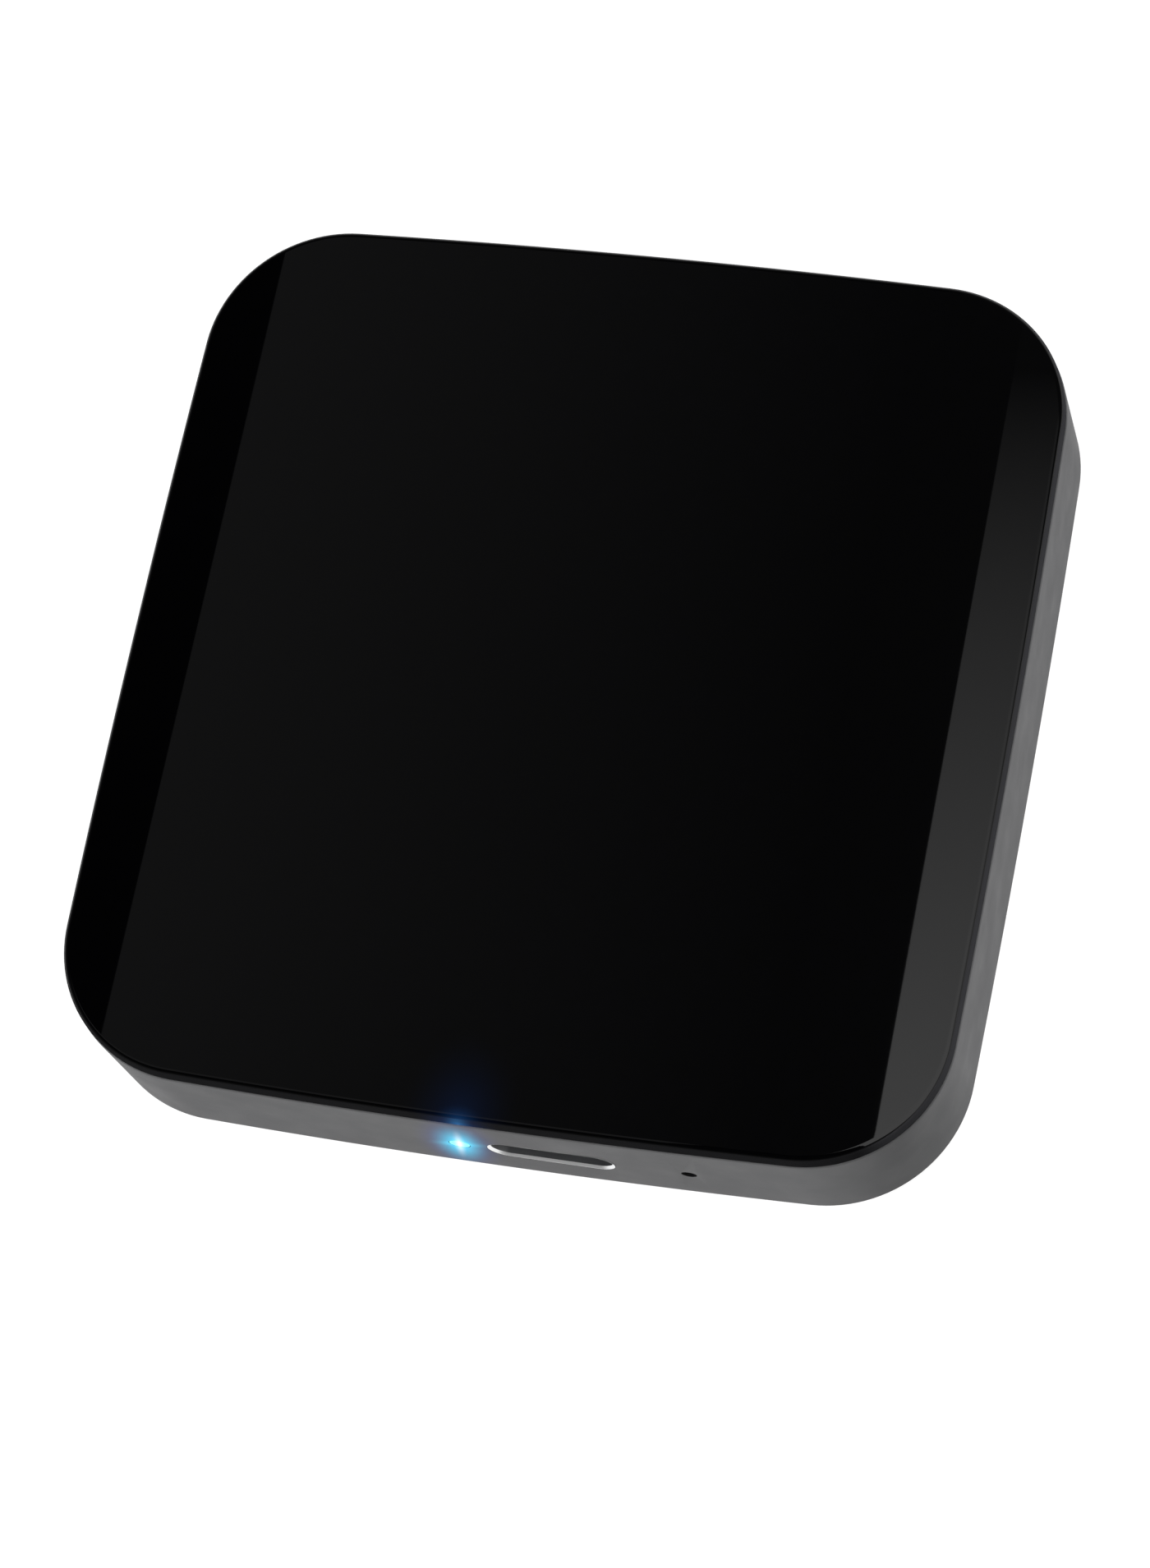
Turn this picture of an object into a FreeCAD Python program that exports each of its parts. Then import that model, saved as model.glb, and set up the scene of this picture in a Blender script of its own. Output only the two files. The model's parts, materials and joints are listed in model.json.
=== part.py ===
import FreeCAD, Part
import math
import os
import re
import Sketcher
from FreeCAD import Placement, Rotation, Vector

# Smart home hub: a thin rounded-square casing that lies on four rubber feet.
# Millimetres. +X is to the right along the port edge, -Y is the port edge, +Z is up.
# The origin is on the table, under the middle of the casing.

doc = FreeCAD.newDocument("SmartHomeHub")

# ---------------------------------------------------------------- driving sizes

SIZES = [
    # casing
    ("hub_width", 70.0),
    ("hub_depth", 71.8),
    ("corner_radius", 11.0),
    ("side_bow_radius", 1350.0),
    ("front_bow_radius", 790.0),
    ("shell_height", 10.8),
    ("shell_wall", 1.6),
    ("shell_deck", 1.0),
    ("shell_bottom_radius", 0.6),
    ("plate_rise", 1.4),
    ("plate_inset", 0.08),
    ("plate_edge_radius", 0.45),
    ("plate_ledge", 1.5),
    ("plate_step", 0.6),
    ("plate_gap", 0.15),
    ("tape_thickness", 0.15),
    ("tape_width", 3.0),
    ("tape_margin", 0.6),
    ("base_thickness", 1.4),
    ("base_gap", 0.12),
    ("base_edge_chamfer", 0.2),
    ("skirt_wall", 1.0),
    ("skirt_height", 1.15),
    ("label_width", 26.0),
    ("label_depth", 16.0),
    ("label_radius", 2.0),
    ("label_recess", 0.2),
    # feet and case screws, one under each corner
    ("foot_stand", 0.6),
    ("foot_recess", 0.6),
    ("foot_diameter", 9.0),
    ("foot_gap", 0.1),
    ("foot_edge_radius", 0.35),
    ("corner_to_screw", 10.0),
    ("pillar_diameter", 6.5),
    ("head_over_foot", 0.1),
    ("case_head_diameter", 3.8),
    ("case_head_height", 1.1),
    ("case_shank_diameter", 2.0),
    ("case_screw_length", 6.0),
    ("case_seat", 1.0),
    ("head_gap", 0.3),
    ("shank_gap", 0.2),
    ("pilot_gap", 0.02),
    ("tip_room", 0.4),
    # main board
    ("board_side_gap", 2.4),
    ("board_end_gap", 1.2),
    ("board_corner_step", 2.0),
    ("board_under_gap", 0.3),
    ("board_thickness", 1.2),
    ("board_boss_gap", 0.5),
    ("board_screw_inset", 3.5),
    ("board_screw_y", 13.0),
    ("board_boss_diameter", 4.6),
    ("board_head_diameter", 3.2),
    ("board_head_height", 0.9),
    ("board_shank_diameter", 1.6),
    ("board_screw_length", 4.0),
    ("cross_slot", 0.45),
    ("cross_depth", 0.5),
    # row of openings in the front wall, all on one height
    ("port_x", 4.9),
    ("led_x", -2.3),
    ("pinhole_x", 15.6),
    ("pinhole_diameter", 1.2),
    ("pipe_diameter", 1.6),
    ("pipe_gap", 0.05),
    ("pipe_column", 2.2),
    ("pipe_behind_wall", 1.0),
    ("pipe_mirror", 1.3),
    ("led_size", 1.6),
    ("led_base_height", 0.35),
    ("led_lens", 1.2),
    ("led_lens_height", 0.35),
    ("led_gap", 0.1),
    # USB-C socket
    ("usb_width", 8.94),
    ("usb_height", 3.16),
    ("usb_sheet", 0.3),
    ("usb_length", 7.4),
    ("usb_seat_gap", 0.02),
    ("tongue_width", 6.69),
    ("tongue_thickness", 0.7),
    ("tongue_setback", 0.9),
    ("tongue_root", 2.4),
    ("tongue_fit", 0.03),
    ("contact_pitch", 0.5),
    ("contact_width", 0.25),
    ("contact_length", 3.4),
    ("contact_setback", 0.6),
    ("contact_thickness", 0.06),
    ("trim_side_room", 0.6),
    ("trim_top_room", 0.02),
    ("trim_wall", 0.22),
    ("trim_setback", 0.02),
    ("trim_chamfer", 0.2),
    ("trim_fit", 0.02),
    ("trim_to_socket", 0.05),
    # reset switch behind the pinhole
    ("switch_width", 4.6),
    ("switch_depth", 3.0),
    ("switch_behind_board_edge", 0.4),
    ("switch_above_axis", 1.45),
    ("switch_chamber_diameter", 2.4),
    ("switch_sheet", 0.2),
    ("switch_cover_reach", 1.8),
    ("switch_sheet_gap", 0.02),
    ("plunger_diameter", 1.5),
    ("plunger_gap", 0.05),
    ("plunger_proud", 0.8),
    ("plunger_shoulder_diameter", 2.2),
    ("plunger_shoulder", 0.5),
    ("plunger_travel", 0.25),
    ("dome_room", 0.1),
    ("dome_height", 0.35),
    ("dome_thickness", 0.08),
    ("dome_diameter", 2.1),
    # parts on the board
    ("can_sheet", 0.2),
    ("can_height", 2.2),
    ("can_width", 26.0),
    ("can_depth", 20.0),
    ("can_gap", 0.85),
    ("part_gap", 0.5),
    ("processor_side", 12.0),
    ("processor_height", 1.1),
    ("processor_x", -5.0),
    ("memory_width", 7.0),
    ("memory_depth", 9.0),
    ("memory_height", 0.9),
    ("memory_x", 7.0),
    ("flash_width", 5.0),
    ("flash_depth", 6.0),
    ("flash_height", 0.9),
    ("flash_x", 20.0),
    ("flash_y", -7.0),
    ("spreader_width", 30.0),
    ("spreader_depth", 22.0),
    ("spreader_thickness", 1.0),
    ("pad_width", 20.0),
    ("pad_depth", 16.0),
    ("module_width", 16.0),
    ("module_depth", 13.0),
    ("module_thickness", 0.8),
    ("module_boss_gap", 3.2),
    ("module_from_back", 15.6),
    ("module_can_width", 13.0),
    ("module_can_depth", 9.5),
    ("module_can_height", 1.5),
    ("antenna_length", 15.0),
    ("antenna_sheet", 0.3),
    ("antenna_headroom", 1.05),
    ("antenna_strip", 1.4),
    ("antenna_foot_pitch", 4.0),
    ("antenna_edge", 2.2),
    ("crystal_width", 3.2),
    ("crystal_depth", 2.5),
    ("crystal_height", 0.8),
    ("crystal_gap", 1.7),
    ("regulator_side", 3.0),
    ("regulator_height", 1.0),
    ("regulator_x", 4.9),
    ("inductor_side", 4.0),
    ("inductor_height", 2.1),
    ("inductor_x", 10.8),
    ("small_length", 1.6),
    ("small_width", 0.8),
    ("small_height", 0.7),
    ("small_pitch", 2.4),
    ("capacitor_x", -20.0),
    ("capacitor_y", -10.0),
    ("resistor_x", 20.0),
    ("resistor_y", -1.0),
]

# Levels and places that follow from the driving sizes.
DERIVED = [
    ("shell_floor", "foot_stand"),
    ("rim_level", "foot_stand + shell_height"),
    ("plate_bottom", "rim_level - plate_step"),
    ("deck_top", "plate_bottom - tape_thickness"),
    ("deck_under", "deck_top - shell_deck"),
    ("base_top", "foot_stand + base_thickness"),
    ("screw_x", "hub_width / 2 - corner_to_screw"),
    ("screw_y", "hub_depth / 2 - corner_to_screw"),
    ("case_seat_level", "foot_stand + foot_recess + head_over_foot + case_head_height"),
    ("pillar_top", "case_seat_level + case_seat"),
    ("board_bottom", "base_top + board_under_gap + board_head_height"),
    ("board_top", "board_bottom + board_thickness"),
    ("port_level", "board_top + usb_seat_gap + usb_height / 2"),
    ("front_inside", "hub_depth / 2 - shell_wall"),
    ("board_width", "hub_width - 2 * shell_wall - 2 * board_side_gap"),
    ("board_depth", "hub_depth - 2 * shell_wall - 2 * board_end_gap"),
    ("board_radius", "corner_radius - board_corner_step"),
    ("board_screw_x", "board_width / 2 - board_screw_inset"),
    ("usb_front", "hub_depth / 2 - shell_wall - trim_to_socket"),
    ("throat_width", "usb_width - 2 * usb_sheet + 2 * trim_side_room"),
    ("throat_height", "usb_height - 2 * usb_sheet + 2 * trim_top_room"),
    ("trim_width", "throat_width + 2 * trim_wall"),
    ("trim_height", "throat_height + 2 * trim_wall"),
    ("trim_length", "shell_wall - trim_setback"),
    ("pipe_column_y", "pipe_behind_wall + pipe_column / 2 - front_inside"),
    ("switch_front", "board_depth / 2 - switch_behind_board_edge"),
    ("switch_below_axis", "port_level - board_top"),
    ("chamber_depth", "plunger_gap + plunger_shoulder + plunger_travel + dome_room + dome_height"),
    ("spreader_bottom", "deck_under - spreader_thickness"),
    ("behind_usb", "usb_length - usb_front + part_gap"),
    ("regulator_y", "behind_usb + regulator_side / 2"),
    ("inductor_y", "behind_usb + inductor_side / 2"),
    ("can_y", "behind_usb + inductor_side + can_gap + can_depth / 2"),
    ("crystal_y", "can_y + can_depth / 2 + crystal_gap + crystal_depth / 2"),
    ("module_x", "board_screw_x - board_boss_diameter / 2 - module_boss_gap - module_width / 2"),
    ("module_y", "board_depth / 2 - module_from_back"),
    ("module_top", "board_top + module_thickness"),
    ("antenna_height", "deck_under - board_top - antenna_headroom"),
]

sheet = doc.addObject("Spreadsheet::Sheet", "Sizes")
for row, (alias, number) in enumerate(SIZES, start=1):
    sheet.set(f"A{row}", alias)
    sheet.set(f"B{row}", str(number))
    sheet.setAlias(f"B{row}", alias)
for row, (alias, formula) in enumerate(DERIVED, start=len(SIZES) + 1):
    sheet.set(f"A{row}", alias)
    sheet.set(f"B{row}", "=" + formula)
    sheet.setAlias(f"B{row}", alias)
doc.recompute()

ALIASES = {alias for alias, _ in SIZES + DERIVED}


# ---------------------------------------------------------------- working tools


def cells(text):
    """The formula with each size's name pointed at its cell in the sheet."""
    return re.sub(
        r"[a-z][a-z_]+", lambda word: "Sizes." + word[0] if word[0] in ALIASES else word[0], text
    )


def size(text):
    """The formula's number now."""
    return float(sheet.evalExpression(cells(text)))


def bind(thing, **formulas):
    """Tie properties of a document object to the sheet, as in Length="shell_wall"."""
    for name, formula in formulas.items():
        thing.setExpression(name, cells(formula))


def place(thing, x="0", y="0", z="0"):
    for axis, formula in zip("xyz", (x, y, z)):
        thing.setExpression(f"Placement.Base.{axis}", cells(formula))


def new_body(name):
    body = doc.addObject("PartDesign::Body", name)
    body.Label = name
    return body


def new_sketch(body, name, plane="XY_Plane", level="0"):
    """A sketch on one of the body's own planes; XZ_Plane levels count towards -Y."""
    sketch = body.newObject("Sketcher::SketchObject", name)
    support = next(item for item in body.Origin.OriginFeatures if item.Role == plane)
    sketch.AttachmentSupport = [(support, "")]
    sketch.MapMode = "FlatFace"
    sketch.setExpression("AttachmentOffset.Base.z", cells(level))
    return sketch


def dimension(sketch, kind, *place_and_formula):
    *place_in_sketch, formula = place_and_formula
    index = sketch.addConstraint(Sketcher.Constraint(kind, *place_in_sketch, size(formula)))
    name = f"{kind}{index}"
    sketch.renameConstraint(index, name)
    sketch.setExpression("Constraints." + name, cells(formula))


def circle(sketch, diameter, x="0", y="0"):
    centre = Vector(size(x), size(y), 0)
    ring = sketch.addGeometry(Part.Circle(centre, Vector(0, 0, 1), size(diameter) / 2))
    dimension(sketch, "DistanceX", -1, 1, ring, 3, x)
    dimension(sketch, "DistanceY", -1, 1, ring, 3, y)
    dimension(sketch, "Diameter", ring, diameter)


def four_circles(sketch, diameter, x, y):
    for sign_x in ("", "-"):
        for sign_y in ("", "-"):
            circle(sketch, diameter, f"{sign_x}({x})", f"{sign_y}({y})")


def rectangle(sketch, width, height, x="0", y="0"):
    left, low = size(f"({x}) - ({width}) / 2"), size(f"({y}) - ({height}) / 2")
    right, high = left + size(width), low + size(height)
    corners = [Vector(left, low), Vector(right, low), Vector(right, high), Vector(left, high)]
    sides = [
        sketch.addGeometry(Part.LineSegment(start, end))
        for start, end in zip(corners, corners[1:] + corners[:1])
    ]
    for side, following in zip(sides, sides[1:] + sides[:1]):
        sketch.addConstraint(Sketcher.Constraint("Coincident", side, 2, following, 1))
    for side, direction in zip(sides, ("Horizontal", "Vertical") * 2):
        sketch.addConstraint(Sketcher.Constraint(direction, side))
    dimension(sketch, "DistanceX", -1, 1, sides[0], 1, f"({x}) - ({width}) / 2")
    dimension(sketch, "DistanceY", -1, 1, sides[0], 1, f"({y}) - ({height}) / 2")
    dimension(sketch, "DistanceX", sides[0], 1, sides[0], 2, width)
    dimension(sketch, "DistanceY", sides[1], 1, sides[1], 2, height)


def arc(sketch, centre, radius, start, end):
    ring = Part.Circle(centre, Vector(0, 0, 1), radius)
    return sketch.addGeometry(Part.ArcOfCircle(ring, start, end))


def join_tangent(sketch, pieces):
    for piece, following in zip(pieces, pieces[1:] + pieces[:1]):
        sketch.addConstraint(Sketcher.Constraint("Tangent", piece, 2, following, 1))


def stadium(sketch, width, height, x="0", y="0"):
    """Two straight sides joined by half circles, lying along the sketch's X."""
    radius = size(height) / 2
    reach = size(width) / 2 - radius
    middle = Vector(size(x), size(y), 0)
    right_end, left_end = middle + Vector(reach, 0), middle - Vector(reach, 0)
    up = Vector(0, radius)
    pieces = [
        arc(sketch, right_end, radius, -math.pi / 2, math.pi / 2),
        sketch.addGeometry(Part.LineSegment(right_end + up, left_end + up)),
        arc(sketch, left_end, radius, math.pi / 2, 3 * math.pi / 2),
        sketch.addGeometry(Part.LineSegment(left_end - up, right_end - up)),
    ]
    join_tangent(sketch, pieces)
    for side in (pieces[1], pieces[3]):
        sketch.addConstraint(Sketcher.Constraint("Horizontal", side))
    reach_formula = f"(({width}) - ({height})) / 2"
    dimension(sketch, "DistanceX", -1, 1, pieces[0], 3, f"({x}) + {reach_formula}")
    dimension(sketch, "DistanceX", -1, 1, pieces[2], 3, f"({x}) - {reach_formula}")
    dimension(sketch, "DistanceY", -1, 1, pieces[0], 3, y)
    dimension(sketch, "Radius", pieces[0], f"({height}) / 2")


def rounded_rectangle(sketch, width, height, radius):
    """A rectangle about the sketch's origin with equal round corners."""
    half_x, half_y, corner = size(width) / 2, size(height) / 2, size(radius)
    turns = [(1, -1, -math.pi / 2), (1, 1, 0), (-1, 1, math.pi / 2), (-1, -1, math.pi)]
    pieces = []
    for sign_x, sign_y, start in turns:
        centre = Vector(sign_x * (half_x - corner), sign_y * (half_y - corner))
        pieces.append(arc(sketch, centre, corner, start, start + math.pi / 2))
        end = start + math.pi / 2
        along = Vector(math.cos(end), math.sin(end))
        forward = Vector(-along.y, along.x)
        length = 2 * (half_y - corner) if abs(forward.y) > 0.5 else 2 * (half_x - corner)
        first = centre + along * corner
        pieces.append(sketch.addGeometry(Part.LineSegment(first, first + forward * length)))
    join_tangent(sketch, pieces)
    for side, direction in zip(pieces[1::2], ("Vertical", "Horizontal") * 2):
        sketch.addConstraint(Sketcher.Constraint(direction, side))
    for corner_piece in pieces[2::2]:
        sketch.addConstraint(Sketcher.Constraint("Equal", pieces[0], corner_piece))
    dimension(sketch, "Radius", pieces[0], radius)
    dimension(sketch, "DistanceX", -1, 1, pieces[1], 1, f"({width}) / 2")
    dimension(sketch, "DistanceX", -1, 1, pieces[5], 1, f"-({width}) / 2")
    dimension(sketch, "DistanceY", -1, 1, pieces[3], 1, f"({height}) / 2")
    dimension(sketch, "DistanceY", -1, 1, pieces[7], 1, f"-({height}) / 2")


def casing_outline(sketch, inset="0"):
    """The casing's outline moved inwards: four bowed sides and four round corners, all tangent."""
    half_x, half_y = f"hub_width / 2 - ({inset})", f"hub_depth / 2 - ({inset})"
    side_bow, front_bow = f"side_bow_radius - ({inset})", f"front_bow_radius - ({inset})"
    corner = f"corner_radius - ({inset})"
    side_radius, front_radius, corner_radius = size(side_bow), size(front_bow), size(corner)
    side_centre = size(half_x) - side_radius
    front_centre = size(half_y) - front_radius
    # The corner's centre is as far from each bow's centre as the radii differ.
    span = math.hypot(side_centre, front_centre)
    to_side, to_front = side_radius - corner_radius, front_radius - corner_radius
    along = (span**2 + to_side**2 - to_front**2) / (2 * span)
    across = math.sqrt(to_side**2 - along**2)
    unit_x, unit_y = -side_centre / span, front_centre / span
    centre_x = side_centre + along * unit_x - across * unit_y
    centre_y = along * unit_y + across * unit_x
    side_turn = math.atan2(centre_y, centre_x - side_centre)
    front_turn = math.atan2(centre_y - front_centre, centre_x)
    half_turn = math.pi
    pieces = [
        arc(sketch, Vector(side_centre, 0), side_radius, -side_turn, side_turn),
        arc(sketch, Vector(centre_x, centre_y), corner_radius, side_turn, front_turn),
        arc(sketch, Vector(0, front_centre), front_radius, front_turn, half_turn - front_turn),
        arc(sketch, Vector(-centre_x, centre_y), corner_radius, half_turn - front_turn,
            half_turn - side_turn),
        arc(sketch, Vector(-side_centre, 0), side_radius, half_turn - side_turn,
            half_turn + side_turn),
        arc(sketch, Vector(-centre_x, -centre_y), corner_radius, half_turn + side_turn,
            half_turn + front_turn),
        arc(sketch, Vector(0, -front_centre), front_radius, half_turn + front_turn,
            2 * half_turn - front_turn),
        arc(sketch, Vector(centre_x, -centre_y), corner_radius, 2 * half_turn - front_turn,
            2 * half_turn - side_turn),
    ]
    join_tangent(sketch, pieces)
    right, back, left, front = pieces[0::2]
    for side in (right, left):
        sketch.addConstraint(Sketcher.Constraint("PointOnObject", side, 3, -1))
        dimension(sketch, "Radius", side, side_bow)
    for side in (back, front):
        sketch.addConstraint(Sketcher.Constraint("PointOnObject", side, 3, -2))
        dimension(sketch, "Radius", side, front_bow)
    dimension(sketch, "DistanceX", -1, 1, right, 3, f"({half_x}) - ({side_bow})")
    dimension(sketch, "DistanceX", -1, 1, left, 3, f"({side_bow}) - ({half_x})")
    dimension(sketch, "DistanceY", -1, 1, back, 3, f"({half_y}) - ({front_bow})")
    dimension(sketch, "DistanceY", -1, 1, front, 3, f"({front_bow}) - ({half_y})")
    dimension(sketch, "Radius", pieces[1], corner)
    for corner_piece in pieces[3::2]:
        sketch.addConstraint(Sketcher.Constraint("Equal", pieces[1], corner_piece))


def pad(body, sketch, name, length, backwards=False):
    feature = body.newObject("PartDesign::Pad", name)
    feature.Profile = sketch
    feature.Reversed = backwards
    bind(feature, Length=length)
    return feature


CUTS = []


def pocket(body, sketch, name, depth, backwards=False):
    """A pocket goes against the sketch's normal, or along it when backwards."""
    feature = body.newObject("PartDesign::Pocket", name)
    feature.Profile = sketch
    feature.Reversed = backwards
    bind(feature, Length=depth)
    CUTS.append(feature)
    return feature


def edge_names(shape, choose):
    return [f"Edge{number}" for number, edge in enumerate(shape.Edges, start=1) if choose(edge)]


def finish_edges(body, base, kind, name, formula, choose):
    """A Fillet (Radius) or Chamfer (Size) on the edges of base that choose accepts."""
    doc.recompute()
    feature = body.newObject("PartDesign::" + kind, name)
    feature.Base = (base, edge_names(base.Shape, choose))
    bind(feature, **{"Radius" if kind == "Fillet" else "Size": formula})
    return feature


def flat_at(axis, formula):
    """Chooses the edges that lie wholly at one level of an axis."""
    level = size(formula)

    def choose(edge):
        box = edge.BoundBox
        low, high = getattr(box, axis + "Min"), getattr(box, axis + "Max")
        return abs(low - level) < 1e-4 and abs(high - level) < 1e-4

    return choose


def box_part(name, width, depth, height, x="0", y="0", z="0"):
    """A block centred on x and y that stands on level z."""
    block = doc.addObject("Part::Box", name)
    block.Label = name
    bind(block, Length=width, Width=depth, Height=height)
    place(block, f"({x}) - ({width}) / 2", f"({y}) - ({depth}) / 2", z)
    return block


def rod_part(name, diameter, height, z="0"):
    rod = doc.addObject("Part::Cylinder", name)
    bind(rod, Radius=f"({diameter}) / 2", Height=height)
    place(rod, z=z)
    return rod


def fuse_parts(name, pieces):
    whole = doc.addObject("Part::MultiFuse", name)
    whole.Label = name
    whole.Shapes = pieces
    return whole


def cut_part(name, base, tool):
    whole = doc.addObject("Part::Cut", name)
    whole.Label = name
    whole.Base = base
    whole.Tool = tool
    return whole


def group_part(name, pattern, offsets):
    """One node of separate, identical solids."""
    doc.recompute()
    copies = []
    for offset in offsets:
        copy = pattern.Shape.copy()
        copy.translate(offset)
        copies.append(copy)
    group = doc.addObject("Part::Feature", name)
    group.Label = name
    group.Shape = Part.makeCompound(copies)
    group.Placement = Placement()
    return group


def four_corners(x, y):
    return [Vector(sx * size(x), sy * size(y), 0) for sx in (-1, 1) for sy in (-1, 1)]


NODES = []


def keep(part):
    """Put the part on the list of nodes that are written out."""
    NODES.append(part)
    return part


# ---------------------------------------------------------------- casing


def make_top_plate():
    """Gloss plate that covers the whole top, with a step that drops into the shell."""
    body = new_body("top_plate")
    outline = new_sketch(body, "PlateOutline", level="rim_level")
    casing_outline(outline, "plate_inset")
    slab = pad(body, outline, "PlateSlab", "plate_rise")
    top = flat_at("Z", "rim_level + plate_rise")
    finish_edges(body, slab, "Fillet", "PlateEdge", "plate_edge_radius", top)
    step = new_sketch(body, "StepOutline", level="rim_level")
    casing_outline(step, "plate_ledge + plate_gap")
    pad(body, step, "PlateStep", "plate_step", backwards=True)
    return body


def make_plate_tape():
    """Ring of double-sided tape between the plate's step and the deck."""
    body = new_body("plate_tape")
    ring = new_sketch(body, "TapeOutline", level="deck_top")
    margin = "plate_ledge + plate_gap + tape_margin"
    casing_outline(ring, margin)
    casing_outline(ring, margin + " + tape_width")
    pad(body, ring, "TapeRing", "tape_thickness")
    return body


def make_body_shell():
    """Moulded shell: side wall, deck under the plate, bosses and the front wall's openings."""
    body = new_body("body_shell")
    outline = new_sketch(body, "ShellOutline", level="shell_floor")
    casing_outline(outline)
    block = pad(body, outline, "ShellBlock", "shell_height")
    bottom = flat_at("Z", "shell_floor")
    finish_edges(body, block, "Fillet", "ShellBottomEdge", "shell_bottom_radius", bottom)

    seat = new_sketch(body, "PlateSeat", level="rim_level")
    casing_outline(seat, "plate_ledge")
    pocket(body, seat, "PlateSeatPocket", "rim_level - deck_top")

    room = new_sketch(body, "InsideOutline", level="shell_floor")
    casing_outline(room, "shell_wall")
    pocket(body, room, "InsidePocket", "deck_under - shell_floor", backwards=True)

    case_bosses = new_sketch(body, "CaseBosses", level="deck_under")
    four_circles(case_bosses, "pillar_diameter", "screw_x", "screw_y")
    pad(body, case_bosses, "CaseBossPad", "deck_under - pillar_top", backwards=True)
    case_pilots = new_sketch(body, "CasePilots", level="pillar_top")
    four_circles(case_pilots, "case_shank_diameter + 2 * pilot_gap", "screw_x", "screw_y")
    case_bite = "case_screw_length - case_seat + tip_room"
    pocket(body, case_pilots, "CasePilotPocket", case_bite, backwards=True)

    board_bosses = new_sketch(body, "BoardBosses", level="deck_under")
    four_circles(board_bosses, "board_boss_diameter", "board_screw_x", "board_screw_y")
    pad(body, board_bosses, "BoardBossPad", "deck_under - board_top", backwards=True)
    board_pilots = new_sketch(body, "BoardPilots", level="board_top")
    board_pilot = "board_shank_diameter + 2 * pilot_gap"
    four_circles(board_pilots, board_pilot, "board_screw_x", "board_screw_y")
    board_bite = "board_screw_length - board_thickness + tip_room"
    pocket(body, board_pilots, "BoardPilotPocket", board_bite, backwards=True)

    # The openings are cut from outside the front wall to just past its inner face.
    through_wall = "2 * shell_wall"
    outside = "hub_depth / 2 + shell_wall / 2"
    port = new_sketch(body, "PortOpening", "XZ_Plane", outside)
    port_width, port_height = "trim_width + 2 * trim_fit", "trim_height + 2 * trim_fit"
    stadium(port, port_width, port_height, "port_x", "port_level")
    pocket(body, port, "PortPocket", through_wall)
    holes = new_sketch(body, "RoundOpenings", "XZ_Plane", outside)
    circle(holes, "pipe_diameter + 2 * pipe_gap", "led_x", "port_level")
    circle(holes, "pinhole_diameter", "pinhole_x", "port_level")
    pocket(body, holes, "RoundPocket", through_wall)
    return body


def make_base_cover():
    """Underside plate with a locating skirt, screw pillars and recesses for the feet."""
    body = new_body("base_cover")
    edge = "shell_wall + base_gap"
    outline = new_sketch(body, "BaseOutline", level="foot_stand")
    casing_outline(outline, edge)
    slab = pad(body, outline, "BaseSlab", "base_thickness")
    bottom = flat_at("Z", "foot_stand")
    finish_edges(body, slab, "Chamfer", "BaseEdge", "base_edge_chamfer", bottom)

    skirt = new_sketch(body, "SkirtOutline", level="base_top")
    casing_outline(skirt, edge)
    casing_outline(skirt, edge + " + skirt_wall")
    pad(body, skirt, "Skirt", "skirt_height")

    pillars = new_sketch(body, "Pillars", level="base_top")
    four_circles(pillars, "pillar_diameter", "screw_x", "screw_y")
    pad(body, pillars, "PillarPad", "pillar_top - base_top")

    feet = new_sketch(body, "FootRecesses", level="foot_stand")
    four_circles(feet, "foot_diameter + 2 * foot_gap", "screw_x", "screw_y")
    pocket(body, feet, "FootPocket", "foot_recess", backwards=True)
    heads = new_sketch(body, "HeadRecesses", level="foot_stand")
    four_circles(heads, "case_head_diameter + 2 * head_gap", "screw_x", "screw_y")
    pocket(body, heads, "HeadPocket", "case_seat_level - foot_stand", backwards=True)
    shanks = new_sketch(body, "ShankHoles", level="foot_stand")
    four_circles(shanks, "case_shank_diameter + 2 * shank_gap", "screw_x", "screw_y")
    pocket(body, shanks, "ShankPocket", "pillar_top - foot_stand", backwards=True)

    label = new_sketch(body, "LabelRecess", level="foot_stand")
    rounded_rectangle(label, "label_width", "label_depth", "label_radius")
    pocket(body, label, "LabelPocket", "label_recess", backwards=True)
    return body


def make_foot(name, x, y):
    """Round rubber pad glued into its recess."""
    body = new_body(name)
    outline = new_sketch(body, name + "_outline")
    circle(outline, "foot_diameter")
    disc = pad(body, outline, name + "_disc", "foot_stand + foot_recess")
    finish_edges(body, disc, "Fillet", name + "_edge", "foot_edge_radius", flat_at("Z", "0"))
    place(body, x, y)
    return body


def make_screw(name, head, head_height, shank, length, seat):
    """Pan-head self-tapping screw that points up, with the head's upper face at its seat."""
    head_disc = rod_part(name + "_head", head, head_height, f"({seat}) - ({head_height})")
    stem = rod_part(name + "_stem", shank, f"({length}) - ({shank}) / 2", seat)
    tip = doc.addObject("Part::Cone", name + "_tip")
    bind(tip, Radius1=f"({shank}) / 2", Radius2=f"({shank}) / 8", Height=f"({shank}) / 2")
    place(tip, z=f"({seat}) + ({length}) - ({shank}) / 2")
    whole = fuse_parts(name + "_blank", [head_disc, stem, tip])
    recess = f"({seat}) - ({head_height})"
    arms = [
        box_part(name + "_arm_x", f"({head}) / 1.8", "cross_slot", "cross_depth", z=recess),
        box_part(name + "_arm_y", "cross_slot", f"({head}) / 1.8", "cross_depth", z=recess),
    ]
    return cut_part(name + "_pattern", whole, fuse_parts(name + "_cross", arms))


# ---------------------------------------------------------------- front wall pieces


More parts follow.
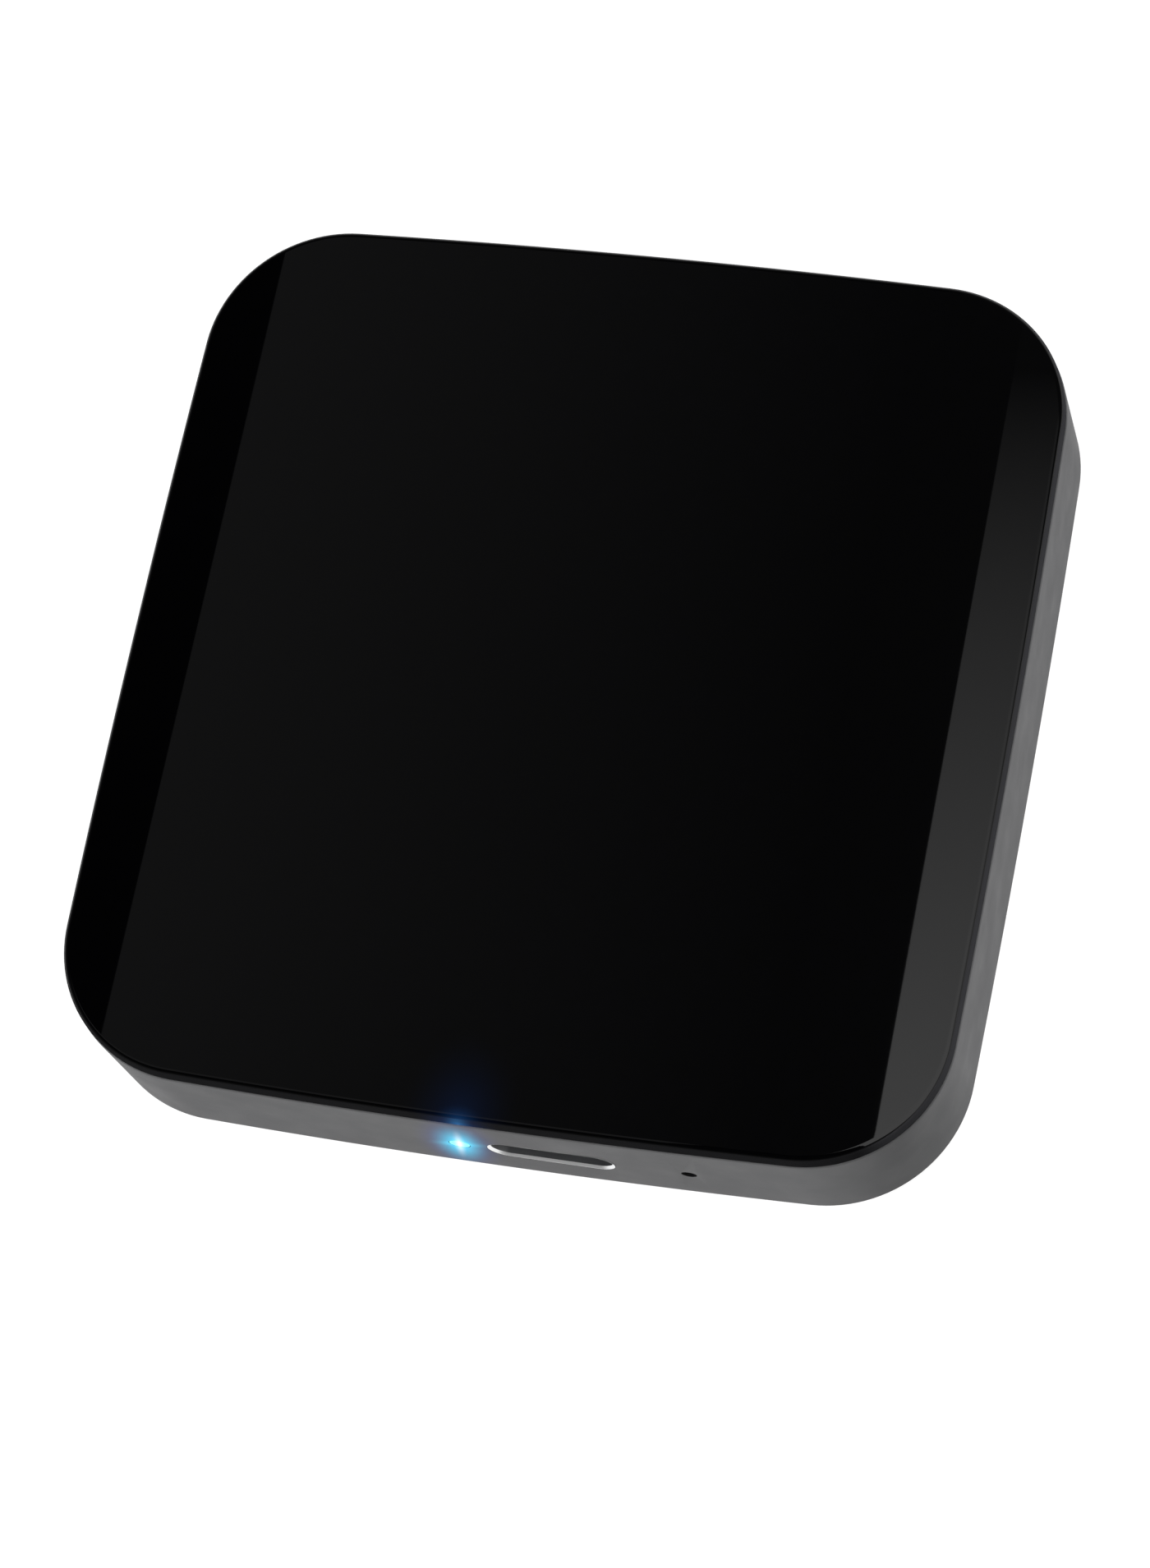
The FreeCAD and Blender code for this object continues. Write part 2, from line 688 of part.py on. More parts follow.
def make_port_trim():
    """Polished ring that lines the wall in front of the socket, open to the socket's mouth."""
    body = new_body("port_trim")
    face = "hub_depth / 2 - trim_setback"
    ring = new_sketch(body, "TrimOutline", "XZ_Plane", face)
    stadium(ring, "trim_width", "trim_height")
    stadium(ring, "throat_width", "throat_height")
    tube = pad(body, ring, "TrimTube", "trim_length", backwards=True)
    inner_reach = size("throat_height / 2") + 1e-3

    def inner_front(edge):
        at_face = flat_at("Y", f"-({face})")(edge)
        box = edge.BoundBox
        return at_face and -inner_reach < box.ZMin and box.ZMax < inner_reach

    finish_edges(body, tube, "Chamfer", "TrimLead", "trim_chamfer", inner_front)
    place(body, "port_x", z="port_level")
    return body


def make_usb_shell():
    """Drawn steel shell of the socket."""
    body = new_body("usb_shell")
    ring = new_sketch(body, "UsbOutline", "XZ_Plane", "usb_front")
    stadium(ring, "usb_width", "usb_height")
    stadium(ring, "usb_width - 2 * usb_sheet", "usb_height - 2 * usb_sheet")
    pad(body, ring, "UsbTube", "usb_length", backwards=True)
    place(body, "port_x", z="port_level")
    return body


def make_usb_tongue():
    """Moulded insert: the root that plugs the shell's back and the tongue that carries contacts."""
    body = new_body("usb_tongue")
    root = new_sketch(body, "RootOutline", "XZ_Plane", "usb_front - usb_length + tongue_root")
    inside_width = "usb_width - 2 * usb_sheet - 2 * tongue_fit"
    inside_height = "usb_height - 2 * usb_sheet - 2 * tongue_fit"
    stadium(root, inside_width, inside_height)
    pad(body, root, "Root", "tongue_root", backwards=True)
    tongue = new_sketch(body, "TongueOutline", "XZ_Plane", "usb_front - tongue_setback")
    rectangle(tongue, "tongue_width", "tongue_thickness")
    reach = "usb_length - tongue_setback - tongue_root"
    blade = pad(body, tongue, "Tongue", reach, backwards=True)
    tip = flat_at("Y", "tongue_setback - usb_front")
    finish_edges(body, blade, "Chamfer", "TongueTip", "tongue_thickness / 5", tip)
    place(body, "port_x", z="port_level")
    return body


def make_usb_contacts():
    """Two rows of twelve flat contacts on the tongue."""
    strip = box_part("contact_strip", "contact_width", "contact_length", "contact_thickness",
                     "port_x", z="port_level + tongue_thickness / 2")
    in_a_row = 12
    middle = -size("usb_front - tongue_setback - contact_setback - contact_length / 2")
    lower = -size("tongue_thickness + contact_thickness")
    offsets = [
        Vector((place_in_row - (in_a_row - 1) / 2) * size("contact_pitch"), middle, drop)
        for drop in (0, lower)
        for place_in_row in range(in_a_row)
    ]
    return group_part("usb_contacts", strip, offsets)


def make_light_pipe():
    """Clear rod in the front wall with a column over the LED; its cut corner turns the light."""
    body = new_body("light_pipe")
    bottom = "board_top + led_base_height + led_lens_height + led_gap"
    foot = new_sketch(body, "ColumnOutline", level=bottom)
    rectangle(foot, "pipe_column", "pipe_column", "0", "pipe_column_y")
    top = "port_level + pipe_diameter / 2"
    column = pad(body, foot, "Column", f"{top} - ({bottom})")
    back, high = size("pipe_column_y + pipe_column / 2"), size(top)

    def rear_top(edge):
        box = edge.BoundBox
        return box.YMin > back - 1e-3 and box.ZMin > high - 1e-3

    finish_edges(body, column, "Chamfer", "Mirror", "pipe_mirror", rear_top)
    rod = new_sketch(body, "RodOutline", "XZ_Plane", "hub_depth / 2 - trim_setback")
    circle(rod, "pipe_diameter", "0", "port_level")
    reach = "shell_wall + pipe_behind_wall + pipe_column / 4 - trim_setback"
    pad(body, rod, "Rod", reach, backwards=True)
    place(body, "led_x")
    return body


def make_status_led():
    base = box_part("led_base", "led_size", "led_size", "led_base_height",
                    "led_x", "pipe_column_y", "board_top")
    lens = box_part("led_lens_block", "led_lens", "led_lens", "led_lens_height",
                    "led_x", "pipe_column_y", "board_top + led_base_height")
    return fuse_parts("status_led", [base, lens])


# ---------------------------------------------------------------- reset switch


def make_switch_base():
    """Moulded body with the round chamber that the plunger's shoulder slides in."""
    body = new_body("reset_switch_base")
    face = new_sketch(body, "SwitchOutline", "XZ_Plane", "switch_front")
    height, middle = "switch_below_axis + switch_above_axis", "(switch_above_axis - switch_below_axis) / 2"
    rectangle(face, "switch_width", height, "0", middle)
    pad(body, face, "SwitchBlock", "switch_depth", backwards=True)
    chamber = new_sketch(body, "Chamber", "XZ_Plane", "switch_front")
    circle(chamber, "switch_chamber_diameter")
    pocket(body, chamber, "ChamberPocket", "chamber_depth")
    place(body, "pinhole_x", z="port_level")
    return body


def make_switch_cover():
    """Folded steel cover over the switch's front, top and sides, with the plunger's hole."""
    body = new_body("reset_switch_cover")
    gap = "switch_sheet + switch_sheet_gap"
    front = f"switch_front + {gap}"
    top = f"switch_above_axis + {gap}"
    face = new_sketch(body, "CoverOutline", "XZ_Plane", front)
    width = f"switch_width + 2 * ({gap})"
    # The lower edge is level with the base, which stands on the board.
    rectangle(face, width, f"{top} + switch_below_axis", "0", f"({top} - switch_below_axis) / 2")
    pad(body, face, "CoverBlock", f"switch_cover_reach + {gap}", backwards=True)
    inside = new_sketch(body, "CoverInside", "XZ_Plane", "switch_front + switch_sheet_gap")
    clear_width = "switch_width + 2 * switch_sheet_gap"
    # The inside is cut from one sheet below the lower edge, so that it is open underneath.
    clear_top, clear_low = "switch_above_axis + switch_sheet_gap", "switch_below_axis + switch_sheet"
    clear_middle = f"({clear_top} - ({clear_low})) / 2"
    rectangle(inside, clear_width, f"{clear_top} + {clear_low}", "0", clear_middle)
    pocket(body, inside, "CoverInsidePocket", "switch_cover_reach + 2 * switch_sheet")
    hole = new_sketch(body, "CoverHole", "XZ_Plane", front)
    circle(hole, "plunger_diameter + 2 * plunger_gap")
    pocket(body, hole, "CoverHolePocket", "2 * switch_sheet")
    place(body, "pinhole_x", z="port_level")
    return body


def make_plunger():
    """Sliding button: a shaft through the cover and a shoulder that the cover holds in."""
    body = new_body("reset_plunger")
    shoulder_front = "switch_front - plunger_gap"
    shoulder = new_sketch(body, "ShoulderOutline", "XZ_Plane", shoulder_front)
    circle(shoulder, "plunger_shoulder_diameter")
    pad(body, shoulder, "Shoulder", "plunger_shoulder", backwards=True)
    shaft = new_sketch(body, "ShaftOutline", "XZ_Plane", shoulder_front)
    circle(shaft, "plunger_diameter")
    reach = "plunger_gap + switch_sheet + switch_sheet_gap + plunger_proud"
    rod = pad(body, shaft, "Shaft", reach)
    tip = flat_at("Y", f"-({shoulder_front} + {reach})")
    finish_edges(body, rod, "Fillet", "ShaftTip", "plunger_diameter / 8", tip)
    place(body, "pinhole_x", z="port_level")
    return body


def make_dome():
    """Snap dome at the back of the chamber, drawn relaxed."""
    radius = (size("dome_diameter") ** 2 / 4 + size("dome_height") ** 2) / (2 * size("dome_height"))
    thickness = size("dome_thickness")
    back = size("chamber_depth - switch_front")
    # The cap rises along -Y from the chamber's floor.
    centre = Vector(0, back + radius - size("dome_height"), 0)
    outer, inner = Part.makeSphere(radius, centre), Part.makeSphere(radius - thickness, centre)
    reach = size("dome_diameter")
    window = Part.makeBox(reach, size("dome_height"), reach)
    window.translate(Vector(-reach / 2, back - size("dome_height"), -reach / 2))
    dome = doc.addObject("Part::Feature", "reset_dome")
    dome.Label = "reset_dome"
    dome.Shape = outer.cut(inner).common(window)
    place(dome, "pinhole_x", z="port_level")
    return dome


# ---------------------------------------------------------------- board and what it carries


def make_main_board():
    body = new_body("main_board")
    outline = new_sketch(body, "BoardOutline", level="board_bottom")
    rounded_rectangle(outline, "board_width", "board_depth", "board_radius")
    pad(body, outline, "BoardSlab", "board_thickness")
    passes = new_sketch(body, "BossPasses", level="board_bottom")
    four_circles(passes, "pillar_diameter + 2 * board_boss_gap", "screw_x", "screw_y")
    pocket(body, passes, "BossPassPocket", "board_thickness", backwards=True)
    holes = new_sketch(body, "BoardScrewHoles", level="board_bottom")
    hole = "board_shank_diameter + 2 * shank_gap"
    four_circles(holes, hole, "board_screw_x", "board_screw_y")
    pocket(body, holes, "BoardScrewPocket", "board_thickness", backwards=True)
    return body


def make_can(name, width, depth, height, x, y, z):
    """Drawn shield, open underneath."""
    outer = box_part(name + "_outer", width, depth, height, x, y, z)
    inner = box_part(name + "_inner", f"({width}) - 2 * can_sheet", f"({depth}) - 2 * can_sheet",
                     f"({height}) - can_sheet", x, y, z)
    return cut_part(name, outer, inner)


def make_antenna(name, x):
    """Stamped inverted-F antenna: a raised strip on two legs at the back of the board."""
    y = "board_depth / 2 - antenna_edge"
    strip = box_part(name + "_strip", "antenna_length", "antenna_sheet", "antenna_strip", x, y,
                     "board_top + antenna_height - antenna_strip")
    legs = [
        box_part(f"{name}_leg{number}", "antenna_sheet * 3", "antenna_sheet", "antenna_height",
                 f"({x}) - antenna_length / 2 + antenna_sheet * 1.5 + {number} * antenna_foot_pitch",
                 y, "board_top")
        for number in (0, 1)
    ]
    return fuse_parts(name, [strip] + legs)


def make_radio(name, x):
    """A radio module: its own small board with a shield, and its antenna."""
    board_name, can_name = name + "_module_board", name + "_module_shield"
    keep(box_part(board_name, "module_width", "module_depth", "module_thickness",
                  x, "module_y", "board_top"))
    keep(make_can(can_name, "module_can_width", "module_can_depth", "module_can_height",
                  x, "module_y", "module_top"))
    keep(make_antenna(name + "_antenna", x))


def make_small_parts(name, x, y, columns, rows):
    """A field of equal chip parts."""
    pattern = box_part(name + "_pattern", "small_length", "small_width", "small_height",
                       x, y, "board_top")
    pitch = size("small_pitch")
    offsets = [
        Vector((column - (columns - 1) / 2) * pitch, row * pitch, 0)
        for column in range(columns)
        for row in range(rows)
    ]
    return group_part(name, pattern, offsets)


# ---------------------------------------------------------------- the assembly

keep(make_top_plate())
keep(make_plate_tape())
keep(make_body_shell())
keep(make_base_cover())
for foot_name, foot_x, foot_y in (
    ("foot_front_left", "-screw_x", "-screw_y"),
    ("foot_front_right", "screw_x", "-screw_y"),
    ("foot_rear_left", "-screw_x", "screw_y"),
    ("foot_rear_right", "screw_x", "screw_y"),
):
    keep(make_foot(foot_name, foot_x, foot_y))

case_screw = make_screw("case_screw", "case_head_diameter", "case_head_height",
                        "case_shank_diameter", "case_screw_length", "case_seat_level")
keep(group_part("case_screws", case_screw, four_corners("screw_x", "screw_y")))
board_screw = make_screw("board_screw", "board_head_diameter", "board_head_height",
                         "board_shank_diameter", "board_screw_length", "board_bottom")
keep(group_part("board_screws", board_screw, four_corners("board_screw_x", "board_screw_y")))

keep(make_port_trim())
keep(make_usb_shell())
keep(make_usb_tongue())
keep(make_usb_contacts())
keep(make_light_pipe())
keep(make_status_led())
keep(make_switch_base())
keep(make_switch_cover())
keep(make_plunger())
keep(make_dome())

keep(make_main_board())
keep(make_can("processor_shield", "can_width", "can_depth", "can_height", "0", "can_y", "board_top"))
keep(box_part("processor", "processor_side", "processor_side", "processor_height",
              "processor_x", "can_y", "board_top"))
keep(box_part("memory_chip", "memory_width", "memory_depth", "memory_height",
              "memory_x", "can_y", "board_top"))
keep(box_part("flash_chip", "flash_width", "flash_depth", "flash_height",
              "flash_x", "flash_y", "board_top"))
keep(box_part("thermal_pad", "pad_width", "pad_depth", "spreader_bottom - board_top - can_height",
              "0", "can_y", "board_top + can_height"))
keep(box_part("heat_spreader", "spreader_width", "spreader_depth", "spreader_thickness",
              "0", "can_y", "spreader_bottom"))
make_radio("wifi", "module_x")
make_radio("zigbee", "-module_x")
keep(box_part("crystal", "crystal_width", "crystal_depth", "crystal_height",
              "0", "crystal_y", "board_top"))
keep(box_part("power_regulator", "regulator_side", "regulator_side", "regulator_height",
              "regulator_x", "regulator_y", "board_top"))
keep(box_part("power_inductor", "inductor_side", "inductor_side", "inductor_height",
              "inductor_x", "inductor_y", "board_top"))
keep(make_small_parts("capacitors", "capacitor_x", "capacitor_y", 3, 4))
keep(make_small_parts("resistors", "resistor_x", "resistor_y", 3, 2))

doc.recompute()

# ---------------------------------------------------------------- checks and files


def fail(message):
    raise SystemExit(message)


for thing in doc.Objects:
    if "Invalid" in thing.State or "Error" in thing.State:
        fail(f"{thing.Label} did not compute: {thing.State}")
for feature in CUTS:
    if not feature.Shape.Volume < feature.BaseFeature.Shape.Volume - 1e-3:
        fail(f"{feature.Label} cuts nothing")
for node in NODES:
    if node.Shape.isNull() or not node.Shape.isValid() or not node.Shape.Solids:
        fail(f"{node.Label} has no sound shape")

os.makedirs("parts", exist_ok=True)
for node in NODES:
    node.Shape.exportStep(os.path.join("parts", node.Label + ".step"))
    box = node.Shape.BoundBox
    print(f"{node.Label:24s} {node.Shape.Volume:10.3f} mm3  z {box.ZMin:7.3f} to {box.ZMax:7.3f}")
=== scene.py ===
"""Looks of the smart home hub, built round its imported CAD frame. Lengths are in metres."""

import json
import math

import bmesh
import bpy
from mathutils import Matrix, Vector

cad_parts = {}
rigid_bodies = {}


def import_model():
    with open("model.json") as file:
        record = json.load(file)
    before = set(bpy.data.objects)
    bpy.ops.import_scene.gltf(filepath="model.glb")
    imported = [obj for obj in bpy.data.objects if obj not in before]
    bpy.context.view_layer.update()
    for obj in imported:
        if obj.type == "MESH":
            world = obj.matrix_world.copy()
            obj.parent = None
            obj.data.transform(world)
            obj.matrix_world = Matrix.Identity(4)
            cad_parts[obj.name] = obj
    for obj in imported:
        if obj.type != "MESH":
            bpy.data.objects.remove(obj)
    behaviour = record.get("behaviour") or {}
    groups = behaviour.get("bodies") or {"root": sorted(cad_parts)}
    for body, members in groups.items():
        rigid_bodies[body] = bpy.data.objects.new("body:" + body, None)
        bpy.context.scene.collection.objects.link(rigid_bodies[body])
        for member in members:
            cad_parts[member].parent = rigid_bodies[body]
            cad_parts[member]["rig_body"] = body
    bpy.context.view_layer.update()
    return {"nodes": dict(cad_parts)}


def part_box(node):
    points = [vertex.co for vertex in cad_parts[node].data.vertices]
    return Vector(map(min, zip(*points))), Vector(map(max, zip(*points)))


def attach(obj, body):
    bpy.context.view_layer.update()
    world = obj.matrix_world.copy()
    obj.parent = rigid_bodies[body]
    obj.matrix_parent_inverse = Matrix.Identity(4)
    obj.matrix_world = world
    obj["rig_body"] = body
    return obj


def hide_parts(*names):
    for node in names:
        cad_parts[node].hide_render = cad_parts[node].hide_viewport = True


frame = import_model()

MM = 0.001

# Levels and faces that the frame gives.
shell_low, shell_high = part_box("body_shell")
plate_low, plate_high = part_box("top_plate")
trim_low, trim_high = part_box("port_trim")
socket_low, socket_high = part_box("usb_shell")
pipe_low, pipe_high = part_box("light_pipe")
plunger_low, plunger_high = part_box("reset_plunger")
board_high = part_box("main_board")[1]
case_screw_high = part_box("case_screws")[1]
board_screw_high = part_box("board_screws")[1]

HALF_WIDTH = shell_high.x
HALF_DEPTH = shell_high.y
FLOOR_LEVEL = shell_low.z
RIM_LEVEL = shell_high.z
PLATE_TOP = plate_high.z
STEP_LEVEL = plate_low.z
PORT = (trim_low + trim_high) / 2
LED = Vector(((pipe_low.x + pipe_high.x) / 2, -HALF_DEPTH, PORT.z))
PINHOLE = Vector(((plunger_low.x + plunger_high.x) / 2, -HALF_DEPTH, PORT.z))

# Driving sizes of the casing.
CORNER_RADIUS = 11.0 * MM
SIDE_BOW = 1350.0 * MM
FRONT_BOW = 790.0 * MM
SHELL_WALL = 1.6 * MM
SHELL_DECK = 1.0 * MM
SHELL_BOTTOM_RADIUS = 0.6 * MM
SHELL_RIM_RADIUS = 0.12 * MM
TAPE = 0.15 * MM
PLATE_INSET = 0.08 * MM
PLATE_EDGE_RADIUS = 0.45 * MM
POLISHED_TURN = 50
PLATE_LOWER_CHAMFER = 0.12 * MM
PLATE_LEDGE = 1.5 * MM
PLATE_GAP = 0.15 * MM
HOLE_EDGE_RADIUS = 0.07 * MM
PIPE_HOLE = 1.7 * MM
PINHOLE_DIAMETER = 1.2 * MM
TRIM_WALL = 0.22 * MM
TRIM_CHAMFER = 0.2 * MM
TRIM_FIT = 0.02 * MM
SOCKET_SHEET = 0.3 * MM
SOCKET_LIP = 0.1 * MM
CASE_HEAD = 3.8 * MM
CASE_BOSS = (6.5 * MM, 2.04 * MM, 5.4 * MM)
CASE_BOSS_FOOT = 3.4 * MM
BOARD_HEAD = 3.2 * MM
BOARD_BOSS = (4.6 * MM, 1.64 * MM, 3.2 * MM)
FOOT_EDGE_RADIUS = 0.35 * MM
FOOT_GROOVE_FROM_EDGE = 0.7 * MM
FOOT_GROOVE_WIDTH = 0.45 * MM
FOOT_GROOVE_SLOPE = 0.12 * MM
FOOT_GROOVE_DEPTH = 0.2 * MM

# Edge loops this far past a rounding keep the flat beside it flat.
PLATE_LOOP = 0.05 * MM
SHELL_LOOP = 0.1 * MM

CORNER_STEPS = 28
BOW_STEPS = 10
ROUND_STEPS = 48
SAME_LEVEL = MM / 100
SAME_POINT = MM / 1000
# Finer than SAME_POINT: the openings' rounded lips hold vertices under a micron apart.
BOSS_WELD = MM / 10000
SHARP_ANGLE = math.radians(30)

# Front-wall openings: how far above and below the port's middle their edges and walls lie.
OPENING_EDGE_REACH = 3 * MM
OPENING_WALL_REACH = 2 * MM

# Sockets of a colour Mix node.
FACTOR, FIRST, SECOND = 0, 6, 7
BLENDED = 2


# ---------------------------------------------------------------- shaping


def verts_of(geometry):
    return [part for part in geometry if isinstance(part, bmesh.types.BMVert)]


def faces_of(geometry):
    return [part for part in geometry if isinstance(part, bmesh.types.BMFace)]


def corner_centre():
    """Centre of the corner arc that is tangent to both bowed sides."""
    x = y = HALF_WIDTH - CORNER_RADIUS
    for _ in range(12):
        x = HALF_WIDTH - SIDE_BOW + math.sqrt((SIDE_BOW - CORNER_RADIUS) ** 2 - y * y)
        y = HALF_DEPTH - FRONT_BOW + math.sqrt((FRONT_BOW - CORNER_RADIUS) ** 2 - x * x)
    return x, y


def casing_face(moved_in, level):
    """A mesh of one face: the casing's bowed outline, moved inwards, at a level."""
    bm = bmesh.new()
    corner_x, corner_y = corner_centre()
    side_turn = math.asin(corner_y / (SIDE_BOW - CORNER_RADIUS))
    front_turn = math.asin(corner_x / (FRONT_BOW - CORNER_RADIUS))
    corner_turn = math.pi / 2 - side_turn - front_turn
    arcs = (
        ((HALF_WIDTH - SIDE_BOW, 0, level), side_turn, BOW_STEPS),
        ((corner_x, corner_y, level), corner_turn, CORNER_STEPS),
        ((0, HALF_DEPTH - FRONT_BOW, level), front_turn, BOW_STEPS),
    )
    tip = [bm.verts.new((HALF_WIDTH - moved_in, 0, level))]
    for centre, turn, steps in arcs:
        swept = bmesh.ops.spin(bm, geom=tip, cent=centre, axis=(0, 0, 1), angle=turn, steps=steps)
        tip = verts_of(swept["geom_last"])
    for axis in "XY":
        quarter = bm.verts[:] + bm.edges[:]
        bmesh.ops.mirror(bm, geom=quarter, matrix=Matrix(), merge_dist=SAME_POINT, axis=axis)
    bmesh.ops.contextual_create(bm, geom=bm.edges[:])
    bm.normal_update()
    return bm


def raise_faces(bm, faces, offset, keep=False):
    """Extrudes faces by an offset and returns the moved ones."""
    made = bmesh.ops.extrude_face_region(bm, geom=faces, use_keep_orig=keep)["geom"]
    bmesh.ops.translate(bm, vec=offset, verts=verts_of(made))
    left_behind = [face for face in faces if face.is_valid and not keep]
    bmesh.ops.delete(bm, geom=left_behind, context="FACES_ONLY")
    return faces_of(made)


def level_faces(bm, level, up):
    """Flat faces that look straight up or down at a level."""
    bm.normal_update()
    return [
        face
        for face in bm.faces
        if face.normal.z * up > 0.999 and abs(face.calc_center_median().z - level) < SAME_LEVEL
    ]


def edges_of(faces):
    return list({edge for face in faces for edge in face.edges})


def round_edges(bm, edges, radius, segments):
    bmesh.ops.bevel(
        bm, geom=edges, offset=radius, segments=segments, profile=0.5, affect="EDGES",
        material=-1, clamp_overlap=True,
    )


def inset(bm, faces, thickness):
    bmesh.ops.inset_region(bm, faces=faces, thickness=thickness, use_even_offset=True)


def slice_at(bm, level):
    """A loop of edges round the mesh at a level, which keeps the shading of a wall flat."""
    everything = bm.verts[:] + bm.edges[:] + bm.faces[:]
    bmesh.ops.bisect_plane(bm, geom=everything, plane_co=(0, 0, level), plane_no=(0, 0, 1))


def stadium_loop(bm, centre, width, height, y):
    """Closed loop of edges across Y: two half circles joined by straight runs."""
    radius = height / 2
    reach = width / 2 - radius
    others = set(bm.edges)
    ends = []
    for side in (1, -1):
        middle = Vector((centre.x + side * reach, y, centre.z))
        first = bm.verts.new(middle - Vector((0, 0, side * radius)))
        swept = bmesh.ops.spin(
            bm, geom=[first], cent=middle, axis=(0, -1, 0), angle=math.pi, steps=ROUND_STEPS // 2
        )
        ends += [first, verts_of(swept["geom_last"])[0]]
    right_start, right_end, left_start, left_end = ends
    bm.edges.new((right_end, left_start))
    bm.edges.new((left_end, right_start))
    return [edge for edge in bm.edges if edge not in others]


def bridged(bm, loops):
    """Joins each loop to the next and the last to the first: a closed ring."""
    for first, second in zip(loops, loops[1:] + loops[:1]):
        bmesh.ops.bridge_loops(bm, edges=first + second)


def rod(bm, centre, diameter, length):
    """Closed round bar along Y about a centre."""
    turn = Matrix.Translation(centre) @ Matrix.Rotation(math.pi / 2, 4, "X")
    bmesh.ops.create_cone(
        bm, cap_ends=True, segments=ROUND_STEPS, radius1=diameter / 2, radius2=diameter / 2,
        depth=length, matrix=turn,
    )


def boss(bm, x, y, foot, top, sizes):
    """Round boss that hangs from the deck, with a blind pilot bore in its foot."""
    outer, bore, bite = sizes
    points = [
        (0, foot + bite), (bore / 2, foot + bite), (bore / 2, foot),
        (outer / 2, foot), (outer / 2, top), (0, top),
    ]
    verts = [bm.verts.new((x + radius, y, z)) for radius, z in points]
    edges = [bm.edges.new(pair) for pair in zip(verts, verts[1:])]
    bmesh.ops.spin(
        bm, geom=verts + edges, cent=(x, y, 0), axis=(0, 0, 1), angle=math.tau,
        steps=ROUND_STEPS // 2, use_merge=True,
    )
    bmesh.ops.remove_doubles(bm, verts=bm.verts[:], dist=BOSS_WELD)


def to_object(bm, name, materials):
    mesh = bpy.data.meshes.new(name)
    bm.to_mesh(mesh)
    bm.free()
    mesh.shade_smooth()
    mesh.set_sharp_from_angle(angle=SHARP_ANGLE)
    piece = bpy.data.objects.new(name, mesh)
    bpy.context.scene.collection.objects.link(piece)
    for material in materials:
        mesh.materials.append(material)
    return piece


def finish_piece(bm, name, node, slot, *materials):
    """Turns a mesh into a piece that stands for a CAD node and moves with its body."""
    bmesh.ops.recalc_face_normals(bm, faces=bm.faces[:])
    piece = to_object(bm, name, materials)
    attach(piece, frame["nodes"][node]["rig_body"])
    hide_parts(node)
    return piece


def soften(piece, width, segments=3):
    """Small rounding along every sharp edge of a piece."""
    modifier = piece.modifiers.new("Edge rounding", "BEVEL")
    modifier.width = width
    modifier.segments = segments
    modifier.limit_method = "ANGLE"
    modifier.angle_limit = SHARP_ANGLE


# ---------------------------------------------------------------- materials


def colour(code):
    """sRGB hex value as linear colour."""
    channels = [int(code[place:place + 2], 16) / 255 for place in (1, 3, 5)]
    linear = [
        value / 12.92 if value <= 0.04045 else ((value + 0.055) / 1.055) ** 2.4
        for value in channels
    ]
    return (*linear, 1.0)


def per(size_mm):
    """Texture scale that gives one feature per so many millimetres of Object coordinates."""
    return 1 / (size_mm * MM)


def add_node(tree, kind, inputs=None, **settings):
    """Adds a node with its settings; each input gets a value, or a link if given a socket."""
    node = tree.nodes.new(kind)
    for name, value in settings.items():
        setattr(node, name, value)
    for key, value in (inputs or {}).items():
        if isinstance(value, bpy.types.NodeSocket):
            tree.links.new(value, node.inputs[key])
        else:
            node.inputs[key].default_value = value
    return node


CLOUD_GRAINS = 24
TONE_LIFT = 0.15
GLOSS_SPREAD = 0.15
GLOW_FALL_OFF = 2.2


def shader_of(material):
    return material.node_tree.nodes["Principled BSDF"]


def surface(
    name, dark, light, roughness, grain, depth, metallic=0.0, ior=None, specular=0.5,
    stretch=(1, 1, 1)
):
    """Finish whose colour wanders between two tones over a fine relief of one grain size.

    grain and depth are in millimetres; stretch lengthens the grain along an axis, as drawing
    or rolling does.
    """
    material = bpy.data.materials.new(name)
    material.use_nodes = True
    tree = material.node_tree
    shader = shader_of(material)
    shader.inputs["Metallic"].default_value = metallic
    shader.inputs["Specular IOR Level"].default_value = specular
    if ior:
        shader.inputs["IOR"].default_value = ior
    place = add_node(tree, "ShaderNodeTexCoord")
    stretched = add_node(
        tree, "ShaderNodeMapping",
        {"Vector": place.outputs["Object"], "Scale": [1 / length for length in stretch]},
    )
    vector = stretched.outputs["Vector"]
    clouds = add_node(
        tree, "ShaderNodeTexNoise",
        {"Vector": vector, "Scale": per(grain * CLOUD_GRAINS), "Detail": 3.0},
    )
    fine = add_node(
        tree, "ShaderNodeTexNoise", {"Vector": vector, "Scale": per(grain), "Detail": 2.0}
    )
    blend = add_node(
        tree, "ShaderNodeMath", {0: clouds.outputs["Fac"], 1: fine.outputs["Fac"]},
        operation="MULTIPLY_ADD",
    )
    blend.inputs[2].default_value = TONE_LIFT
    tone = add_node(
        tree, "ShaderNodeMix",
        {FACTOR: blend.outputs[0], FIRST: colour(dark), SECOND: colour(light)},
        data_type="RGBA",
    )
    tree.links.new(tone.outputs[BLENDED], shader.inputs["Base Color"])
    gloss = add_node(
        tree, "ShaderNodeMapRange",
        {"Value": clouds.outputs["Fac"], "From Min": 0.3, "From Max": 0.7,
         "To Min": roughness * (1 - GLOSS_SPREAD),
         "To Max": min(roughness * (1 + GLOSS_SPREAD), 1.0)},
    )
    tree.links.new(gloss.outputs["Result"], shader.inputs["Roughness"])
    if depth:
        relief = add_node(
            tree, "ShaderNodeBump",
            {"Height": fine.outputs["Fac"], "Distance": depth * MM, "Strength": 1.0},
        )
        tree.links.new(relief.outputs["Normal"], shader.inputs["Normal"])
    return material


